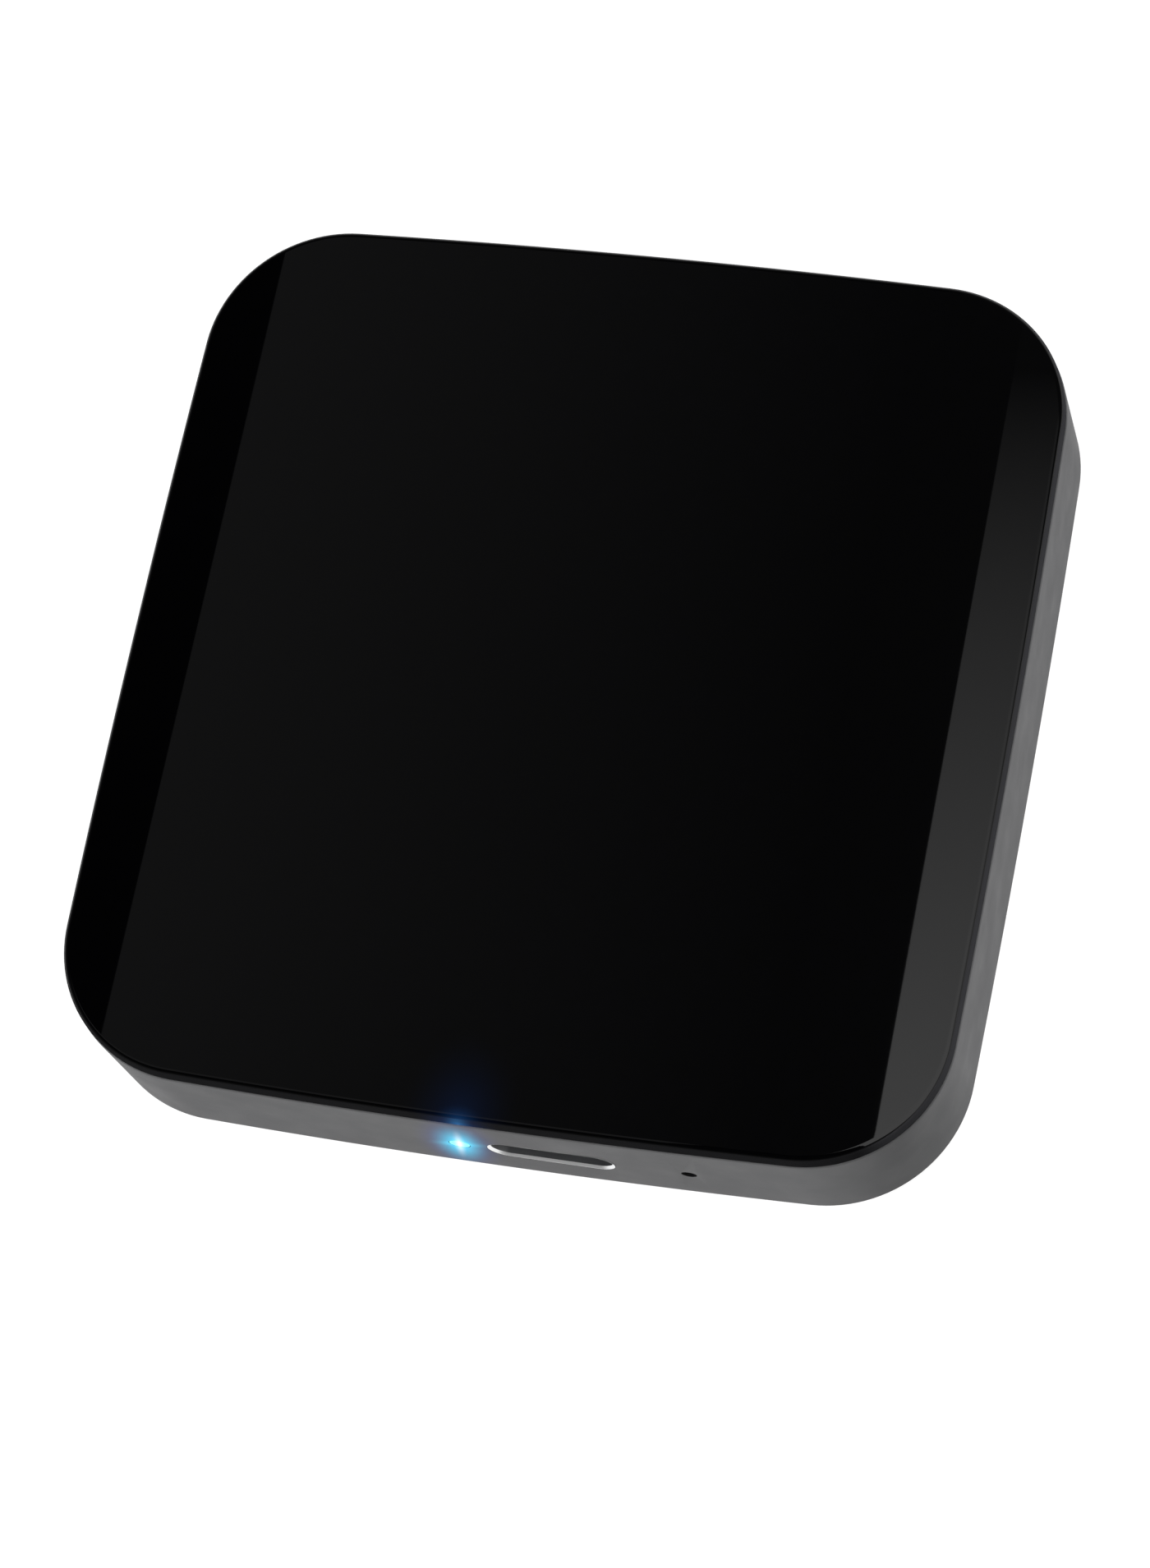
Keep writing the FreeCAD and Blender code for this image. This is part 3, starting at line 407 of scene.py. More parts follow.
def add_glow(material, layers):
    """Painted light round the LED: each layer is a soft spot with a reach along X, Y and Z.

    A spot's reach is in millimetres. It leans about Y by its own angle in degrees, from the
    wall's upright towards +X.
    """
    tree = material.node_tree
    shader = shader_of(material)
    place = add_node(tree, "ShaderNodeTexCoord")
    total = (0.0, 0.0, 0.0, 1.0)
    for centre, reach, lean, code, strength in layers:
        spot = add_node(
            tree, "ShaderNodeMapping",
            {"Vector": place.outputs["Object"], "Location": centre,
             "Rotation": (0, math.radians(lean), 0),
             "Scale": [length * MM for length in reach]},
            vector_type="TEXTURE",
        )
        away = add_node(
            tree, "ShaderNodeVectorMath", {0: spot.outputs["Vector"]}, operation="LENGTH"
        )
        fade = add_node(
            tree, "ShaderNodeMapRange",
            {"Value": away.outputs["Value"], "From Min": 0.0, "From Max": 1.0,
             "To Min": 1.0, "To Max": 0.0},
        )
        spread = add_node(
            tree, "ShaderNodeMath", {0: fade.outputs["Result"], 1: GLOW_FALL_OFF},
            operation="POWER",
        )
        level = add_node(
            tree, "ShaderNodeMath", {0: spread.outputs[0], 1: strength}, operation="MULTIPLY"
        )
        layer = add_node(
            tree, "ShaderNodeMix",
            {FACTOR: level.outputs[0], FIRST: total, SECOND: colour(code)},
            data_type="RGBA", blend_type="ADD", clamp_factor=False,
        )
        total = layer.outputs[BLENDED]
    tree.links.new(total, shader.inputs["Emission Color"])
    shader.inputs["Emission Strength"].default_value = 1.0


# Polished black acrylic sheet: near-black body, mirror gloss, the faintest finger haze.
polished_acrylic = surface(
    "Polished black PMMA", "#010101", "#020203", 0.008, 1.6, 0, ior=1.49
)
# The LED's glow on the plate is painted light: a faint blue emission near the front edge, over the
# LED.
PLATE_GLOW_SHIFT = 1.4 * MM
over_led = Vector((LED.x + PLATE_GLOW_SHIFT, plate_low.y, PLATE_TOP))
add_glow(polished_acrylic, [
    (over_led, (5.0, 7.5, 3.0), 0, "#0a2a5a", 0.2),
    (over_led, (2.2, 1.4, 3.0), 0, "#2f7ad0", 0.14),
])

# The same sheet's sawn and bead-blasted side: matt black. The right-hand side is a paler black
# and the foot of the edge is near-black: both tones are painted, to stand for light and shadow.
blasted_acrylic = surface(
    "Bead-blasted black PMMA edge", "#121213", "#1a1a1b", 0.6, 0.12, 0.004, ior=1.49,
    specular=0.0
)
PALE_FROM, PALE_FULL = 29 * MM, 31.5 * MM
SEAM_DARK, SEAM_CLEAR = 0.12 * MM, 0.22 * MM
tree = blasted_acrylic.node_tree
base_colour = shader_of(blasted_acrylic).inputs["Base Color"]
place = add_node(tree, "ShaderNodeTexCoord")
parts = add_node(tree, "ShaderNodeSeparateXYZ", {0: place.outputs["Object"]})
paler = add_node(
    tree, "ShaderNodeMapRange",
    {"Value": parts.outputs["X"], "From Min": PALE_FROM, "From Max": PALE_FULL},
    interpolation_type="SMOOTHSTEP",
)
seam = add_node(
    tree, "ShaderNodeMapRange",
    {"Value": parts.outputs["Z"], "From Min": RIM_LEVEL + SEAM_DARK,
     "From Max": RIM_LEVEL + SEAM_CLEAR},
)
side_tone = add_node(
    tree, "ShaderNodeMix",
    {FACTOR: paler.outputs["Result"], FIRST: base_colour.links[0].from_socket,
     SECOND: colour("#2b2b2d")},
    data_type="RGBA",
)
shaded = add_node(
    tree, "ShaderNodeMix",
    {FACTOR: seam.outputs["Result"], FIRST: colour("#080808"),
     SECOND: side_tone.outputs[BLENDED]},
    data_type="RGBA",
)
tree.links.new(shaded.outputs[BLENDED], base_colour)
GLOW_LEAN = 9
STREAK_LEAN = -14
# The LED's glow on the plate's matt edge is painted light as well: a blue emission over the LED,
# leaning like the glow on the wall.
EDGE_GLOW_SHIFT = 1.1 * MM
over_led_edge = Vector((LED.x + EDGE_GLOW_SHIFT, plate_low.y, RIM_LEVEL))
add_glow(blasted_acrylic, [
    (over_led_edge, (3.6, 4.0, 4.0), GLOW_LEAN, "#123f86", 0.45),
    (over_led_edge, (1.4, 4.0, 4.0), GLOW_LEAN, "#4fb4ff", 0.25),
])

# Fine satin paint over moulded ABS: an even neutral grey, almost without shine, with the
# orange peel of spraying.
# The LED's glow is painted on it as emission: taller than wide, leaning a little to the right.
satin_paint = surface(
    "Satin grey paint on ABS", "#4d4d4e", "#545455", 0.58, 0.16, 0.004, ior=1.5, specular=0.05
)
add_glow(satin_paint, [
    (LED, (2.6, 3.0, 6.4), GLOW_LEAN, "#27f9ff", 1.0),
    (LED, (3.9, 4.0, 9.0), GLOW_LEAN, "#0050e1", 0.6),
    (LED, (0.6, 3.0, 5.0), GLOW_LEAN, "#f3aa7c", 1.0),
    (LED, (3.4, 3.0, 1.1), STREAK_LEAN, "#4fc8d8", 0.6),
])

# Black ABS of the moulding where the paint is masked: the seat, the inside, the openings. On the
# seat and in the openings it is also painted shade: the dark line of the seam under the plate and
# the dark inside the holes.
bare_abs_and_shade = surface(
    "Bare black ABS and painted shade", "#0b0b0c", "#121213", 0.6, 0.2, 0.006, ior=1.53, specular=0.2
)

# Spark-eroded ABS: a darker grey with an even pebbled relief of about a quarter millimetre.
eroded_abs = surface(
    "Spark-eroded grey ABS", "#3b3c3e", "#47484a", 0.62, 0.28, 0.02, ior=1.53
)

# Silicone rubber: matt black, with a dusty bloom.
silicone_rubber = surface(
    "Black silicone rubber", "#161617", "#222223", 0.78, 0.2, 0.006, ior=1.41
)

# Polished stainless steel: bright, with faint marks of the buffing wheel along the ring.
polished_steel = surface(
    "Polished stainless steel", "#f0f1f2", "#fcfcfc", 0.36, 0.3, 0.0003, metallic=1.0,
    stretch=(6, 1, 1)
)

# The ring's throat, left as pierced: duller and greyer than the ring, scored along its length.
pierced_steel = surface(
    "Pierced stainless steel", "#97989a", "#a9aaac", 0.5, 0.08, 0.001, metallic=1.0,
    stretch=(1, 10, 1)
)

# Nickel-plated deep-drawn steel: greyer, satin, with drawing lines along the socket.
drawn_steel = surface(
    "Nickel-plated drawn steel", "#77797c", "#8e9093", 0.3, 0.06, 0.001, metallic=1.0,
    stretch=(1, 14, 1)
)

# Glass-filled LCP: black, dry and slightly rough from its fibres.
filled_lcp = surface(
    "Glass-filled black LCP", "#0b0b0c", "#151516", 0.55, 0.1, 0.003, ior=1.6
)

# Gold flash over nickel.
gold_plate = surface(
    "Gold-plated contact", "#dcae52", "#edc871", 0.22, 0.05, 0.0004, metallic=1.0,
    stretch=(1, 5, 1)
)

# Clear acrylic that carries the LED's light: a cyan end with a white heart. Its glow is painted
# light as emission, with the same leaning spots and sideways streak as the glow painted on the
# wall.
clear_acrylic = surface(
    "Clear PMMA light pipe", "#46788c", "#5288a0", 0.06, 0.4, 0, ior=1.49
)
shader_of(clear_acrylic).inputs["Transmission Weight"].default_value = 0.4
add_glow(clear_acrylic, [
    (LED, (2.6, 6.0, 6.4), GLOW_LEAN, "#27f9ff", 1.0),
    (LED, (0.6, 6.0, 5.0), GLOW_LEAN, "#f3aa7c", 1.0),
    (LED, (3.4, 6.0, 1.1), STREAK_LEAN, "#4fc8d8", 0.6),
])

# Silicone-filled LED lens, lit.
led_lens = surface(
    "Lit LED lens", "#c8ecff", "#e6f8ff", 0.2, 0.2, 0, ior=1.41
)
shader = shader_of(led_lens)
shader.inputs["Emission Color"].default_value = colour("#9fe4ff")
shader.inputs["Emission Strength"].default_value = 2.0

# Green solder mask over copper: glossy, with the tracks standing a little proud and paler.
solder_mask = surface(
    "Green solder mask", "#0b3a22", "#0f4a2b", 0.24, 0.3, 0.002, ior=1.5
)
tree = solder_mask.node_tree
place = add_node(tree, "ShaderNodeTexCoord")
tracks = add_node(
    tree, "ShaderNodeTexBrick",
    {"Vector": place.outputs["Object"], "Color1": colour("#0c3f25"), "Color2": colour("#0e4529"),
     "Mortar": colour("#1d6b3f"), "Scale": per(8.0), "Mortar Size": 0.016, "Brick Width": 1.3,
     "Row Height": 0.16},
    offset=0.37,
)
tree.links.new(tracks.outputs["Color"], shader_of(solder_mask).inputs["Base Color"])

# Tin plate, slightly frosted: the radio and processor screening cans.
tin_plate = surface(
    "Frosted tin plate", "#a9acae", "#bfc2c4", 0.32, 0.12, 0.0008, metallic=1.0, stretch=(5, 1, 1)
)

# Zinc plate on steel screws: pale, a touch blue, with a mottled passivation.
zinc_plate = surface(
    "Blue-passivated zinc plate", "#8f959b", "#aab0b5", 0.35, 0.1, 0.001, metallic=1.0
)

# Black acetal of the reset plunger: deep black, waxy.
acetal = surface(
    "Black acetal", "#0a0a0b", "#111112", 0.42, 0.2, 0.002, ior=1.48
)

# Moulded epoxy of the chips: charcoal, sandy from the filler.
chip_epoxy = surface(
    "Moulded epoxy", "#17181a", "#222326", 0.6, 0.08, 0.004, ior=1.55
)

# Soft ceramic-filled gap pad: dull blue, slightly tacky.
gap_pad = surface(
    "Ceramic-filled gap pad", "#7c93a2", "#8da4b2", 0.7, 0.3, 0.01, ior=1.43
)

# Rolled aluminium sheet: fine straight rolling lines.
rolled_aluminium = surface(
    "Rolled aluminium", "#c3c5c8", "#d4d6d8", 0.34, 0.07, 0.0008, metallic=1.0, stretch=(30, 1, 1)
)

# Tinned brass antenna strip.
tinned_brass = surface(
    "Stamped brass strip", "#b79655", "#cbae70", 0.3, 0.08, 0.0008, metallic=1.0, stretch=(8, 1, 1)
)

# Pressed ferrite: slate grey, powdery.
ferrite = surface("Pressed ferrite", "#2b2c2e", "#3a3b3d", 0.7, 0.12, 0.006)

# Ceramic bodies of the small parts: tan, fired.
ceramic = surface("Fired ceramic", "#a58a68", "#baa07d", 0.45, 0.1, 0.002)

# Matt foam of the double-sided tape, with small closed cells.
foam_tape = surface("Black foam tape", "#1b1b1c", "#2a2a2b", 0.85, 0.15, 0.015)

NODE_FINISHES = {
    "plate_tape": foam_tape,
    "base_cover": eroded_abs,
    "case_screws": zinc_plate,
    "board_screws": zinc_plate,
    "usb_tongue": filled_lcp,
    "usb_contacts": gold_plate,
    "light_pipe": clear_acrylic,
    "status_led": led_lens,
    "reset_switch_base": filled_lcp,
    "reset_switch_cover": drawn_steel,
    "reset_plunger": acetal,
    "reset_dome": drawn_steel,
    "main_board": solder_mask,
    "processor_shield": tin_plate,
    "processor": chip_epoxy,
    "memory_chip": chip_epoxy,
    "flash_chip": chip_epoxy,
    "thermal_pad": gap_pad,
    "heat_spreader": rolled_aluminium,
    "wifi_module_board": solder_mask,
    "wifi_module_shield": tin_plate,
    "wifi_antenna": tinned_brass,
    "zigbee_module_board": solder_mask,
    "zigbee_module_shield": tin_plate,
    "zigbee_antenna": tinned_brass,
    "crystal": tin_plate,
    "power_regulator": chip_epoxy,
    "power_inductor": ferrite,
    "capacitors": ceramic,
    "resistors": chip_epoxy,
}
for node, finish in NODE_FINISHES.items():
    for material_slot in frame["nodes"][node].material_slots:
        material_slot.material = finish


# ---------------------------------------------------------------- pieces


def make_top_plate():
    """Gloss plate: rounded upper edge, blasted side, and the step that drops into the shell."""
    bm = casing_face(PLATE_INSET, RIM_LEVEL)
    top = raise_faces(bm, bm.faces[:], (0, 0, PLATE_TOP - RIM_LEVEL), keep=True)
    bmesh.ops.recalc_face_normals(bm, faces=bm.faces[:])
    round_edges(bm, edges_of(top), PLATE_EDGE_RADIUS, segments=8)
    inset(bm, level_faces(bm, PLATE_TOP, 1), PLATE_LOOP)
    under = level_faces(bm, RIM_LEVEL, -1)
    round_edges(bm, edges_of(under), PLATE_LOWER_CHAMFER, segments=1)
    slice_at(bm, PLATE_TOP - PLATE_EDGE_RADIUS - PLATE_LOOP)
    under = level_faces(bm, RIM_LEVEL, -1)
    inset(bm, under, PLATE_LEDGE + PLATE_GAP - PLATE_INSET - PLATE_LOWER_CHAMFER)
    raise_faces(bm, under, (0, 0, STEP_LEVEL - RIM_LEVEL))
    polished_depth = PLATE_EDGE_RADIUS * (1 - math.cos(math.radians(POLISHED_TURN)))
    for face in bm.faces:
        face.material_index = int(face.calc_center_median().z < PLATE_TOP - polished_depth)
    finish_piece(bm, "gloss_top_plate", "top_plate", "gloss_black",
                 polished_acrylic, blasted_acrylic)


def openings():
    """Bars that cut the port, the light pipe's hole and the reset pinhole through the wall."""
    bm = bmesh.new()
    outside, inside = -HALF_DEPTH - SHELL_WALL, -HALF_DEPTH + 2 * SHELL_WALL
    width = trim_high.x - trim_low.x + 2 * TRIM_FIT
    height = trim_high.z - trim_low.z + 2 * TRIM_FIT
    for y in (outside, inside):
        bmesh.ops.contextual_create(bm, geom=stadium_loop(bm, PORT, width, height, y))
    bmesh.ops.bridge_loops(bm, edges=bm.edges[:])
    middle = (outside + inside) / 2
    rod(bm, Vector((LED.x, middle, LED.z)), PIPE_HOLE, inside - outside)
    rod(bm, Vector((PINHOLE.x, middle, PINHOLE.z)), PINHOLE_DIAMETER, inside - outside)
    bmesh.ops.recalc_face_normals(bm, faces=bm.faces[:])
    return bm


def cut_away(bm, cutter_bm, materials):
    """The first mesh with the second cut out of it."""
    body = to_object(bm, "uncut", materials)
    cutter = to_object(cutter_bm, "cutter", materials)
    cut = body.modifiers.new("Openings", "BOOLEAN")
    cut.operation = "DIFFERENCE"
    cut.solver = "EXACT"
    cut.object = cutter
    state = bpy.context.evaluated_depsgraph_get()
    mesh = bpy.data.meshes.new_from_object(body.evaluated_get(state))
    result = bmesh.new()
    result.from_mesh(mesh)
    bpy.data.objects.remove(body)
    bpy.data.objects.remove(cutter)
    bpy.data.meshes.remove(mesh)
    return result


def make_body_shell():
    """Moulded shell: rounded foot and rim, seat for the plate, room inside, openings, bosses."""
    bm = casing_face(0, FLOOR_LEVEL)
    top = raise_faces(bm, bm.faces[:], (0, 0, RIM_LEVEL - FLOOR_LEVEL), keep=True)
    bmesh.ops.recalc_face_normals(bm, faces=bm.faces[:])
    bottom = level_faces(bm, FLOOR_LEVEL, -1)
    round_edges(bm, edges_of(bottom), SHELL_BOTTOM_RADIUS, segments=6)
    top = level_faces(bm, RIM_LEVEL, 1)
    round_edges(bm, edges_of(top), SHELL_RIM_RADIUS, segments=3)
    slice_at(bm, FLOOR_LEVEL + SHELL_BOTTOM_RADIUS + SHELL_LOOP)
    slice_at(bm, RIM_LEVEL - SHELL_RIM_RADIUS - SHELL_LOOP)

    deck_top = STEP_LEVEL - TAPE
    deck_under = deck_top - SHELL_DECK
    # The seat takes the dark bare ABS: partly painted shade, the dark line of the seam at the
    # plate's foot.
    seat = level_faces(bm, RIM_LEVEL, 1)
    for face in seat:
        face.material_index = 1
    inset(bm, seat, PLATE_LEDGE - SHELL_RIM_RADIUS)
    raise_faces(bm, seat, (0, 0, deck_top - RIM_LEVEL))
    room = level_faces(bm, FLOOR_LEVEL, -1)
    inset(bm, room, SHELL_WALL - SHELL_BOTTOM_RADIUS)
    for face in room:
        face.material_index = 1
    raise_faces(bm, room, (0, 0, deck_under - FLOOR_LEVEL))

    bm = cut_away(bm, openings(), [satin_paint, bare_abs_and_shade])
    bm.normal_update()
    lips = [
        edge
        for edge in bm.edges
        if len(edge.link_faces) == 2
        and min(face.normal.y for face in edge.link_faces) < -0.95
        and max(abs(face.normal.y) for face in edge.link_faces) > 0.95
        and min(abs(face.normal.y) for face in edge.link_faces) < 0.2
        and all(vert.co.y < 0.5 * SHELL_WALL - HALF_DEPTH for vert in edge.verts)
        and all(abs(vert.co.z - PORT.z) < OPENING_EDGE_REACH for vert in edge.verts)
    ]
    round_edges(bm, lips, HOLE_EDGE_RADIUS, segments=3)

    bm.normal_update()
    # The walls of the openings take the dark bare ABS: partly painted shade inside the holes.
    for face in bm.faces:
        middle = face.calc_center_median()
        front_wall = middle.y < SHELL_WALL - HALF_DEPTH and middle.z < deck_top
        beside_port = abs(middle.z - PORT.z) < OPENING_WALL_REACH
        if front_wall and beside_port and abs(face.normal.y) < 0.3:
            face.material_index = 1
    moulded = set(bm.faces)
    hang = deck_under + SHELL_DECK / 2
    case_x, case_y = case_screw_high.x - CASE_HEAD / 2, case_screw_high.y - CASE_HEAD / 2
    board_x, board_y = board_screw_high.x - BOARD_HEAD / 2, board_screw_high.y - BOARD_HEAD / 2
    for side in (1, -1):
        for end in (1, -1):
            boss(bm, side * case_x, end * case_y, CASE_BOSS_FOOT, hang, CASE_BOSS)
            boss(bm, side * board_x, end * board_y, board_high.z, hang, BOARD_BOSS)
    for face in set(bm.faces) - moulded:
        face.material_index = 1
    finish_piece(bm, "painted_body_shell", "body_shell", "shell_grey", satin_paint, bare_abs_and_shade)


def make_port_ring():
    """Polished ring round the socket: flat land, lead-in chamfer, straight throat."""
    bm = bmesh.new()
    width, height = trim_high.x - trim_low.x, trim_high.z - trim_low.z
    mouth, back = trim_low.y, trim_high.y
    throat = 2 * TRIM_WALL
    lip = 2 * (TRIM_WALL - TRIM_CHAMFER)
    bridged(bm, [
        stadium_loop(bm, PORT, width, height, back),
        stadium_loop(bm, PORT, width, height, mouth),
        stadium_loop(bm, PORT, width - lip, height - lip, mouth),
        stadium_loop(bm, PORT, width - throat, height - throat, mouth + TRIM_CHAMFER),
        stadium_loop(bm, PORT, width - throat, height - throat, back),
    ])
    bm.normal_update()
    for face in bm.faces:
        face.material_index = int(face.calc_center_median().y > mouth + TRIM_CHAMFER)
    piece = finish_piece(
        bm, "polished_port_ring", "port_trim", "polished_trim", polished_steel, pierced_steel
    )
    soften(piece, 0.03 * MM)


def make_socket_shell():
    """Drawn socket shell with a rounded mouth."""
    bm = bmesh.new()
    width, height = socket_high.x - socket_low.x, socket_high.z - socket_low.z
    bore = 2 * SOCKET_SHEET
    bridged(bm, [
        stadium_loop(bm, PORT, width, height, socket_high.y),
        stadium_loop(bm, PORT, width, height, socket_low.y),
        stadium_loop(bm, PORT, width - bore, height - bore, socket_low.y),
        stadium_loop(bm, PORT, width - bore, height - bore, socket_high.y),
    ])
    piece = finish_piece(bm, "drawn_socket_shell", "usb_shell", "socket_steel", drawn_steel)
    soften(piece, SOCKET_LIP)


def make_foot(node):
    """Rubber foot: rounded lower edge and a shallow ring groove that grips the table."""
    low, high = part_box(node)
    middle = (low + high) / 2
    bm = bmesh.new()
    bmesh.ops.create_circle(
        bm, cap_ends=True, segments=2 * ROUND_STEPS, radius=(high.x - low.x) / 2,
        matrix=Matrix.Translation((middle.x, middle.y, low.z)),
    )
    raise_faces(bm, bm.faces[:], (0, 0, high.z - low.z), keep=True)
    bmesh.ops.recalc_face_normals(bm, faces=bm.faces[:])
    sole = level_faces(bm, low.z, -1)
    round_edges(bm, edges_of(sole), FOOT_EDGE_RADIUS, segments=6)
    sole = level_faces(bm, low.z, -1)
    inset(bm, sole, FOOT_GROOVE_FROM_EDGE)
    for floor_width, rise in ((FOOT_GROOVE_WIDTH, FOOT_GROOVE_DEPTH), (0, -FOOT_GROOVE_DEPTH)):
        inset(bm, sole, FOOT_GROOVE_SLOPE)
        rim = list({vert for face in sole for vert in face.verts})
        bmesh.ops.translate(bm, vec=(0, 0, rise), verts=rim)
        if floor_width:
            inset(bm, sole, floor_width)
    finish_piece(bm, "rubber_" + node, node, "foot_rubber", silicone_rubber)


make_top_plate()
make_body_shell()
make_port_ring()
make_socket_shell()
for foot in ("foot_front_left", "foot_front_right", "foot_rear_left", "foot_rear_right"):
    make_foot(foot)


# ---------------------------------------------------------------- studio


CAMERA_AZIMUTH = 39.15
CAMERA_ELEVATION = 66.68
CAMERA_ROLL = -29.86
CAMERA_DISTANCE = 377.2 * MM
CAMERA_TARGET = Vector((-0.8 * MM, -4.3 * MM, 0.0))
CAMERA_LENS = 110.12
SENSOR_WIDTH = 36.0
NEAREST = 0.01
TABLE_REACH = 30.0
SOFTBOX_CORNER = (26, -34, 0)
SOFTBOX_SLANT = (-1.49, -1.0, 0)
SOFTBOX_SWEEP = -0.08
BRIGHT_SIDE = Vector((0.9, 0.35, 0.25)).normalized()

scene = bpy.context.scene
scene.view_settings.view_transform = "Standard"
camera = bpy.data.objects.new("Camera", bpy.data.cameras.new("Camera"))
camera.data.lens = CAMERA_LENS
camera.data.sensor_width = SENSOR_WIDTH
camera.data.clip_start = NEAREST
aim = (
    Matrix.Rotation(math.radians(CAMERA_AZIMUTH), 4, "Z")
    @ Matrix.Rotation(math.radians(90 - CAMERA_ELEVATION), 4, "X")
    @ Matrix.Rotation(math.radians(CAMERA_ROLL), 4, "Z")
)
camera_place = CAMERA_TARGET + aim @ Vector((0, 0, CAMERA_DISTANCE))
camera.matrix_world = Matrix.Translation(camera_place) @ aim
scene.collection.objects.link(camera)
scene.camera = camera


def stage_material(name, strength=0.0, strength_at=None):
    """Emitter of an even strength, or of one that strength_at builds from nodes."""
    material = bpy.data.materials.new(name)
    material.use_nodes = True
    tree = material.node_tree
    tree.nodes.clear()
    if strength_at:
        strength = strength_at(tree)
    glow = add_node(tree, "ShaderNodeEmission", {"Strength": strength})
    add_node(tree, "ShaderNodeOutputMaterial", {"Surface": glow.outputs[0]})
    return material


def make_floor():
    """Backlit white table that runs to the horizon."""
    bm = bmesh.new()
    bmesh.ops.create_grid(bm, x_segments=1, y_segments=1, size=TABLE_REACH)
    material = bpy.data.materials.new("Backlit white table")
    material.use_nodes = True
    shader = shader_of(material)
    shader.inputs["Base Color"].default_value = colour("#7c7c7c")
    shader.inputs["Roughness"].default_value = 1.0
    shader.inputs["Specular IOR Level"].default_value = 0.0
    shader.inputs["Emission Color"].default_value = colour("#ffffff")
    shader.inputs["Emission Strength"].default_value = 0.88
    to_object(bm, "table", [material])


def overhead_card(
    name, left, right, front, back, height, material, round_corner=0.0, slant=None
):
    """Card high overhead, sized as the area of the plate that mirrors it to the camera.

    The mesh is laid out in the plate's own coordinates; the object spreads it about the
    camera, because a mirrored ray keeps going out the same way it came in.
    """
    bm = bmesh.new()
    bmesh.ops.create_grid(bm, x_segments=1, y_segments=1, size=0.5)
    middle = Vector(((left + right) / 2, (front + back) / 2, 0)) * MM
    spread = Vector((right - left, back - front, 1)) * MM
    bmesh.ops.scale(bm, vec=spread, verts=bm.verts[:])
    bmesh.ops.translate(bm, vec=middle, verts=bm.verts[:])
    if round_corner:
        corner = [vert for vert in bm.verts if vert.co.x > middle.x and vert.co.y < middle.y]
        bmesh.ops.bevel(
            bm, geom=corner, offset=round_corner * MM, segments=12, profile=0.5,
            affect="VERTICES", material=-1,
        )
    if slant:
        start, across = slant
        bmesh.ops.bisect_plane(
            bm, geom=bm.verts[:] + bm.edges[:] + bm.faces[:], plane_co=Vector(start) * MM,
            plane_no=across, clear_outer=True,
        )
    card = to_object(bm, name, [material])
    reach = 1 + height / (camera_place.z - PLATE_TOP)
    card.location = (
        camera_place.x * (1 - reach), camera_place.y * (1 - reach), PLATE_TOP + height
    )
    card.scale = (reach, reach, 1)
    card.visible_camera = False
    card.visible_diffuse = False
    card.visible_shadow = False


def side_to_side(tree):
    """Dim grey that fades from the left of the plate to its right."""
    place = add_node(tree, "ShaderNodeTexCoord")
    parts = add_node(tree, "ShaderNodeSeparateXYZ", {0: place.outputs["Object"]})
    fade = add_node(
        tree, "ShaderNodeMapRange",
        {"Value": parts.outputs["X"], "From Min": -30 * MM, "From Max": 22 * MM,
         "To Min": 0.13, "To Max": 0.03},
    )
    return fade.outputs["Result"]


def front_to_back(tree):
    """Light that fades from the front of the plate to its back."""
    place = add_node(tree, "ShaderNodeTexCoord")
    parts = add_node(tree, "ShaderNodeSeparateXYZ", {0: place.outputs["Object"]})
    swept = add_node(
        tree, "ShaderNodeMath",
        {0: parts.outputs["X"], 1: SOFTBOX_SWEEP, 2: parts.outputs["Y"]}, operation="MULTIPLY_ADD",
    )
    fade = add_node(
        tree, "ShaderNodeMapRange",
        {"Value": swept.outputs[0], "From Min": -36.4 * MM, "From Max": 26.6 * MM,
         "To Min": 1.25, "To Max": 0.04},
    )
    return fade.outputs["Result"]


def make_sun(name, direction, strength, angle):
    sun = bpy.data.lights.new(name, "SUN")
    sun.energy = strength
    sun.angle = math.radians(angle)
    lamp = bpy.data.objects.new(name, sun)
    lamp.rotation_euler = Vector(direction).to_track_quat("Z", "Y").to_euler()
    lamp.visible_glossy = False
    scene.collection.objects.link(lamp)


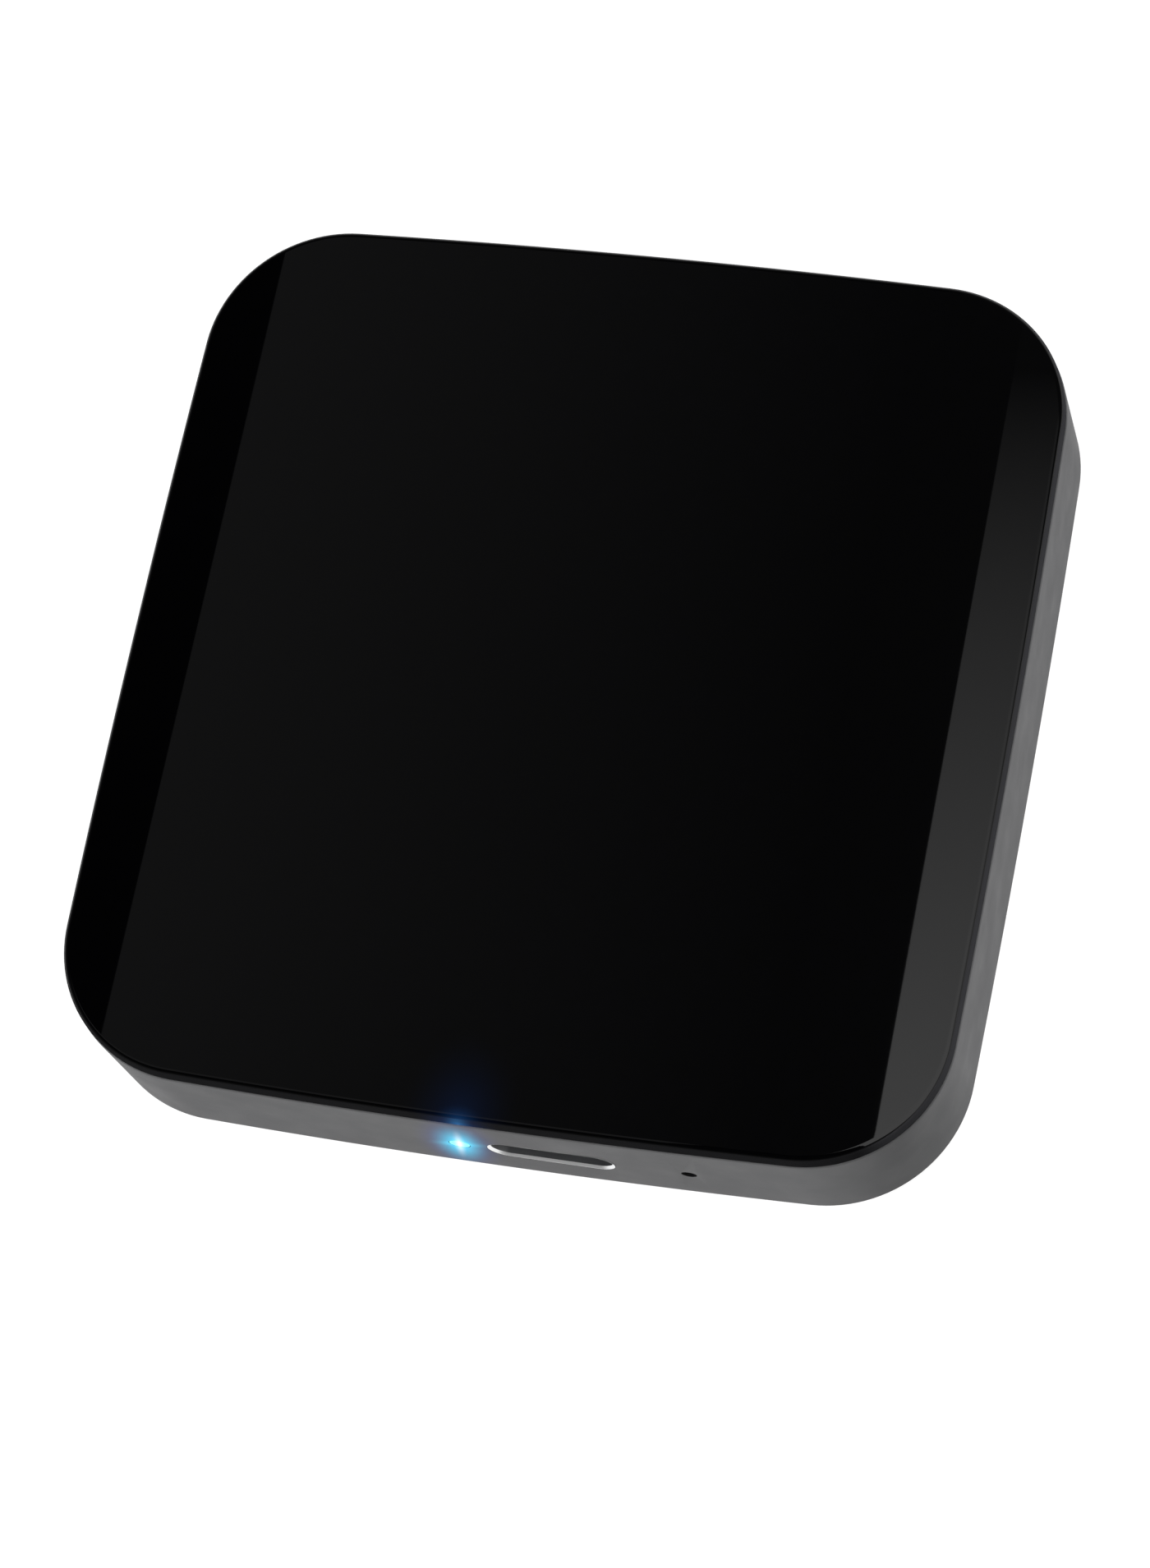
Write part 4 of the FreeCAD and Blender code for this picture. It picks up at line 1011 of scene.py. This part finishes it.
def make_world():
    """Dim studio: almost black overhead, a low grey glow all round, brighter on the right."""
    world = bpy.data.worlds.new("Studio")
    scene.world = world
    world.use_nodes = True
    tree = world.node_tree
    background = tree.nodes["Background"]
    place = add_node(tree, "ShaderNodeTexCoord")
    parts = add_node(tree, "ShaderNodeSeparateXYZ", {0: place.outputs["Generated"]})
    height = add_node(
        tree, "ShaderNodeMapRange",
        {"Value": parts.outputs["Z"], "From Min": 0.05, "From Max": 0.85,
         "To Min": 1.0, "To Max": 0.05},
        interpolation_type="SMOOTHSTEP",
    )
    toward = add_node(
        tree, "ShaderNodeVectorMath",
        {0: place.outputs["Generated"], 1: BRIGHT_SIDE},
        operation="DOT_PRODUCT",
    )
    side = add_node(
        tree, "ShaderNodeMapRange",
        {"Value": toward.outputs["Value"], "From Min": 0.2, "From Max": 1.0,
         "To Min": 0.22, "To Max": 0.9},
        interpolation_type="SMOOTHSTEP",
    )
    strength = add_node(
        tree, "ShaderNodeMath", {0: height.outputs["Result"], 1: side.outputs["Result"]},
        operation="MULTIPLY",
    )
    background.inputs["Color"].default_value = colour("#ffffff")
    tree.links.new(strength.outputs[0], background.inputs["Strength"])


make_floor()
overhead_card(
    "dark_flag", left=-60, right=60, front=-60, back=60, height=720 * MM,
    material=stage_material("Black flag"),
)
overhead_card(
    "side_softbox", left=26, right=420, front=-240, back=240, height=700 * MM,
    material=stage_material("Side softbox", strength_at=front_to_back),
    slant=(SOFTBOX_CORNER, SOFTBOX_SLANT),
)
overhead_card(
    "front_scrim", left=-60, right=18, front=-110, back=-36.2, height=705 * MM,
    material=stage_material("Front scrim", strength=0.2),
)
overhead_card(
    "centre_scrim", left=-29.8, right=30.2, front=-36.2, back=44, height=690 * MM,
    material=stage_material("Centre scrim", strength_at=side_to_side), round_corner=4.0,
)
make_sun("front_left_key", direction=(-0.66, -0.60, 0.50), strength=4.4, angle=30)
make_sun("rear_right_fill", direction=(0.60, 0.66, 0.50), strength=3.9, angle=30)
make_world()
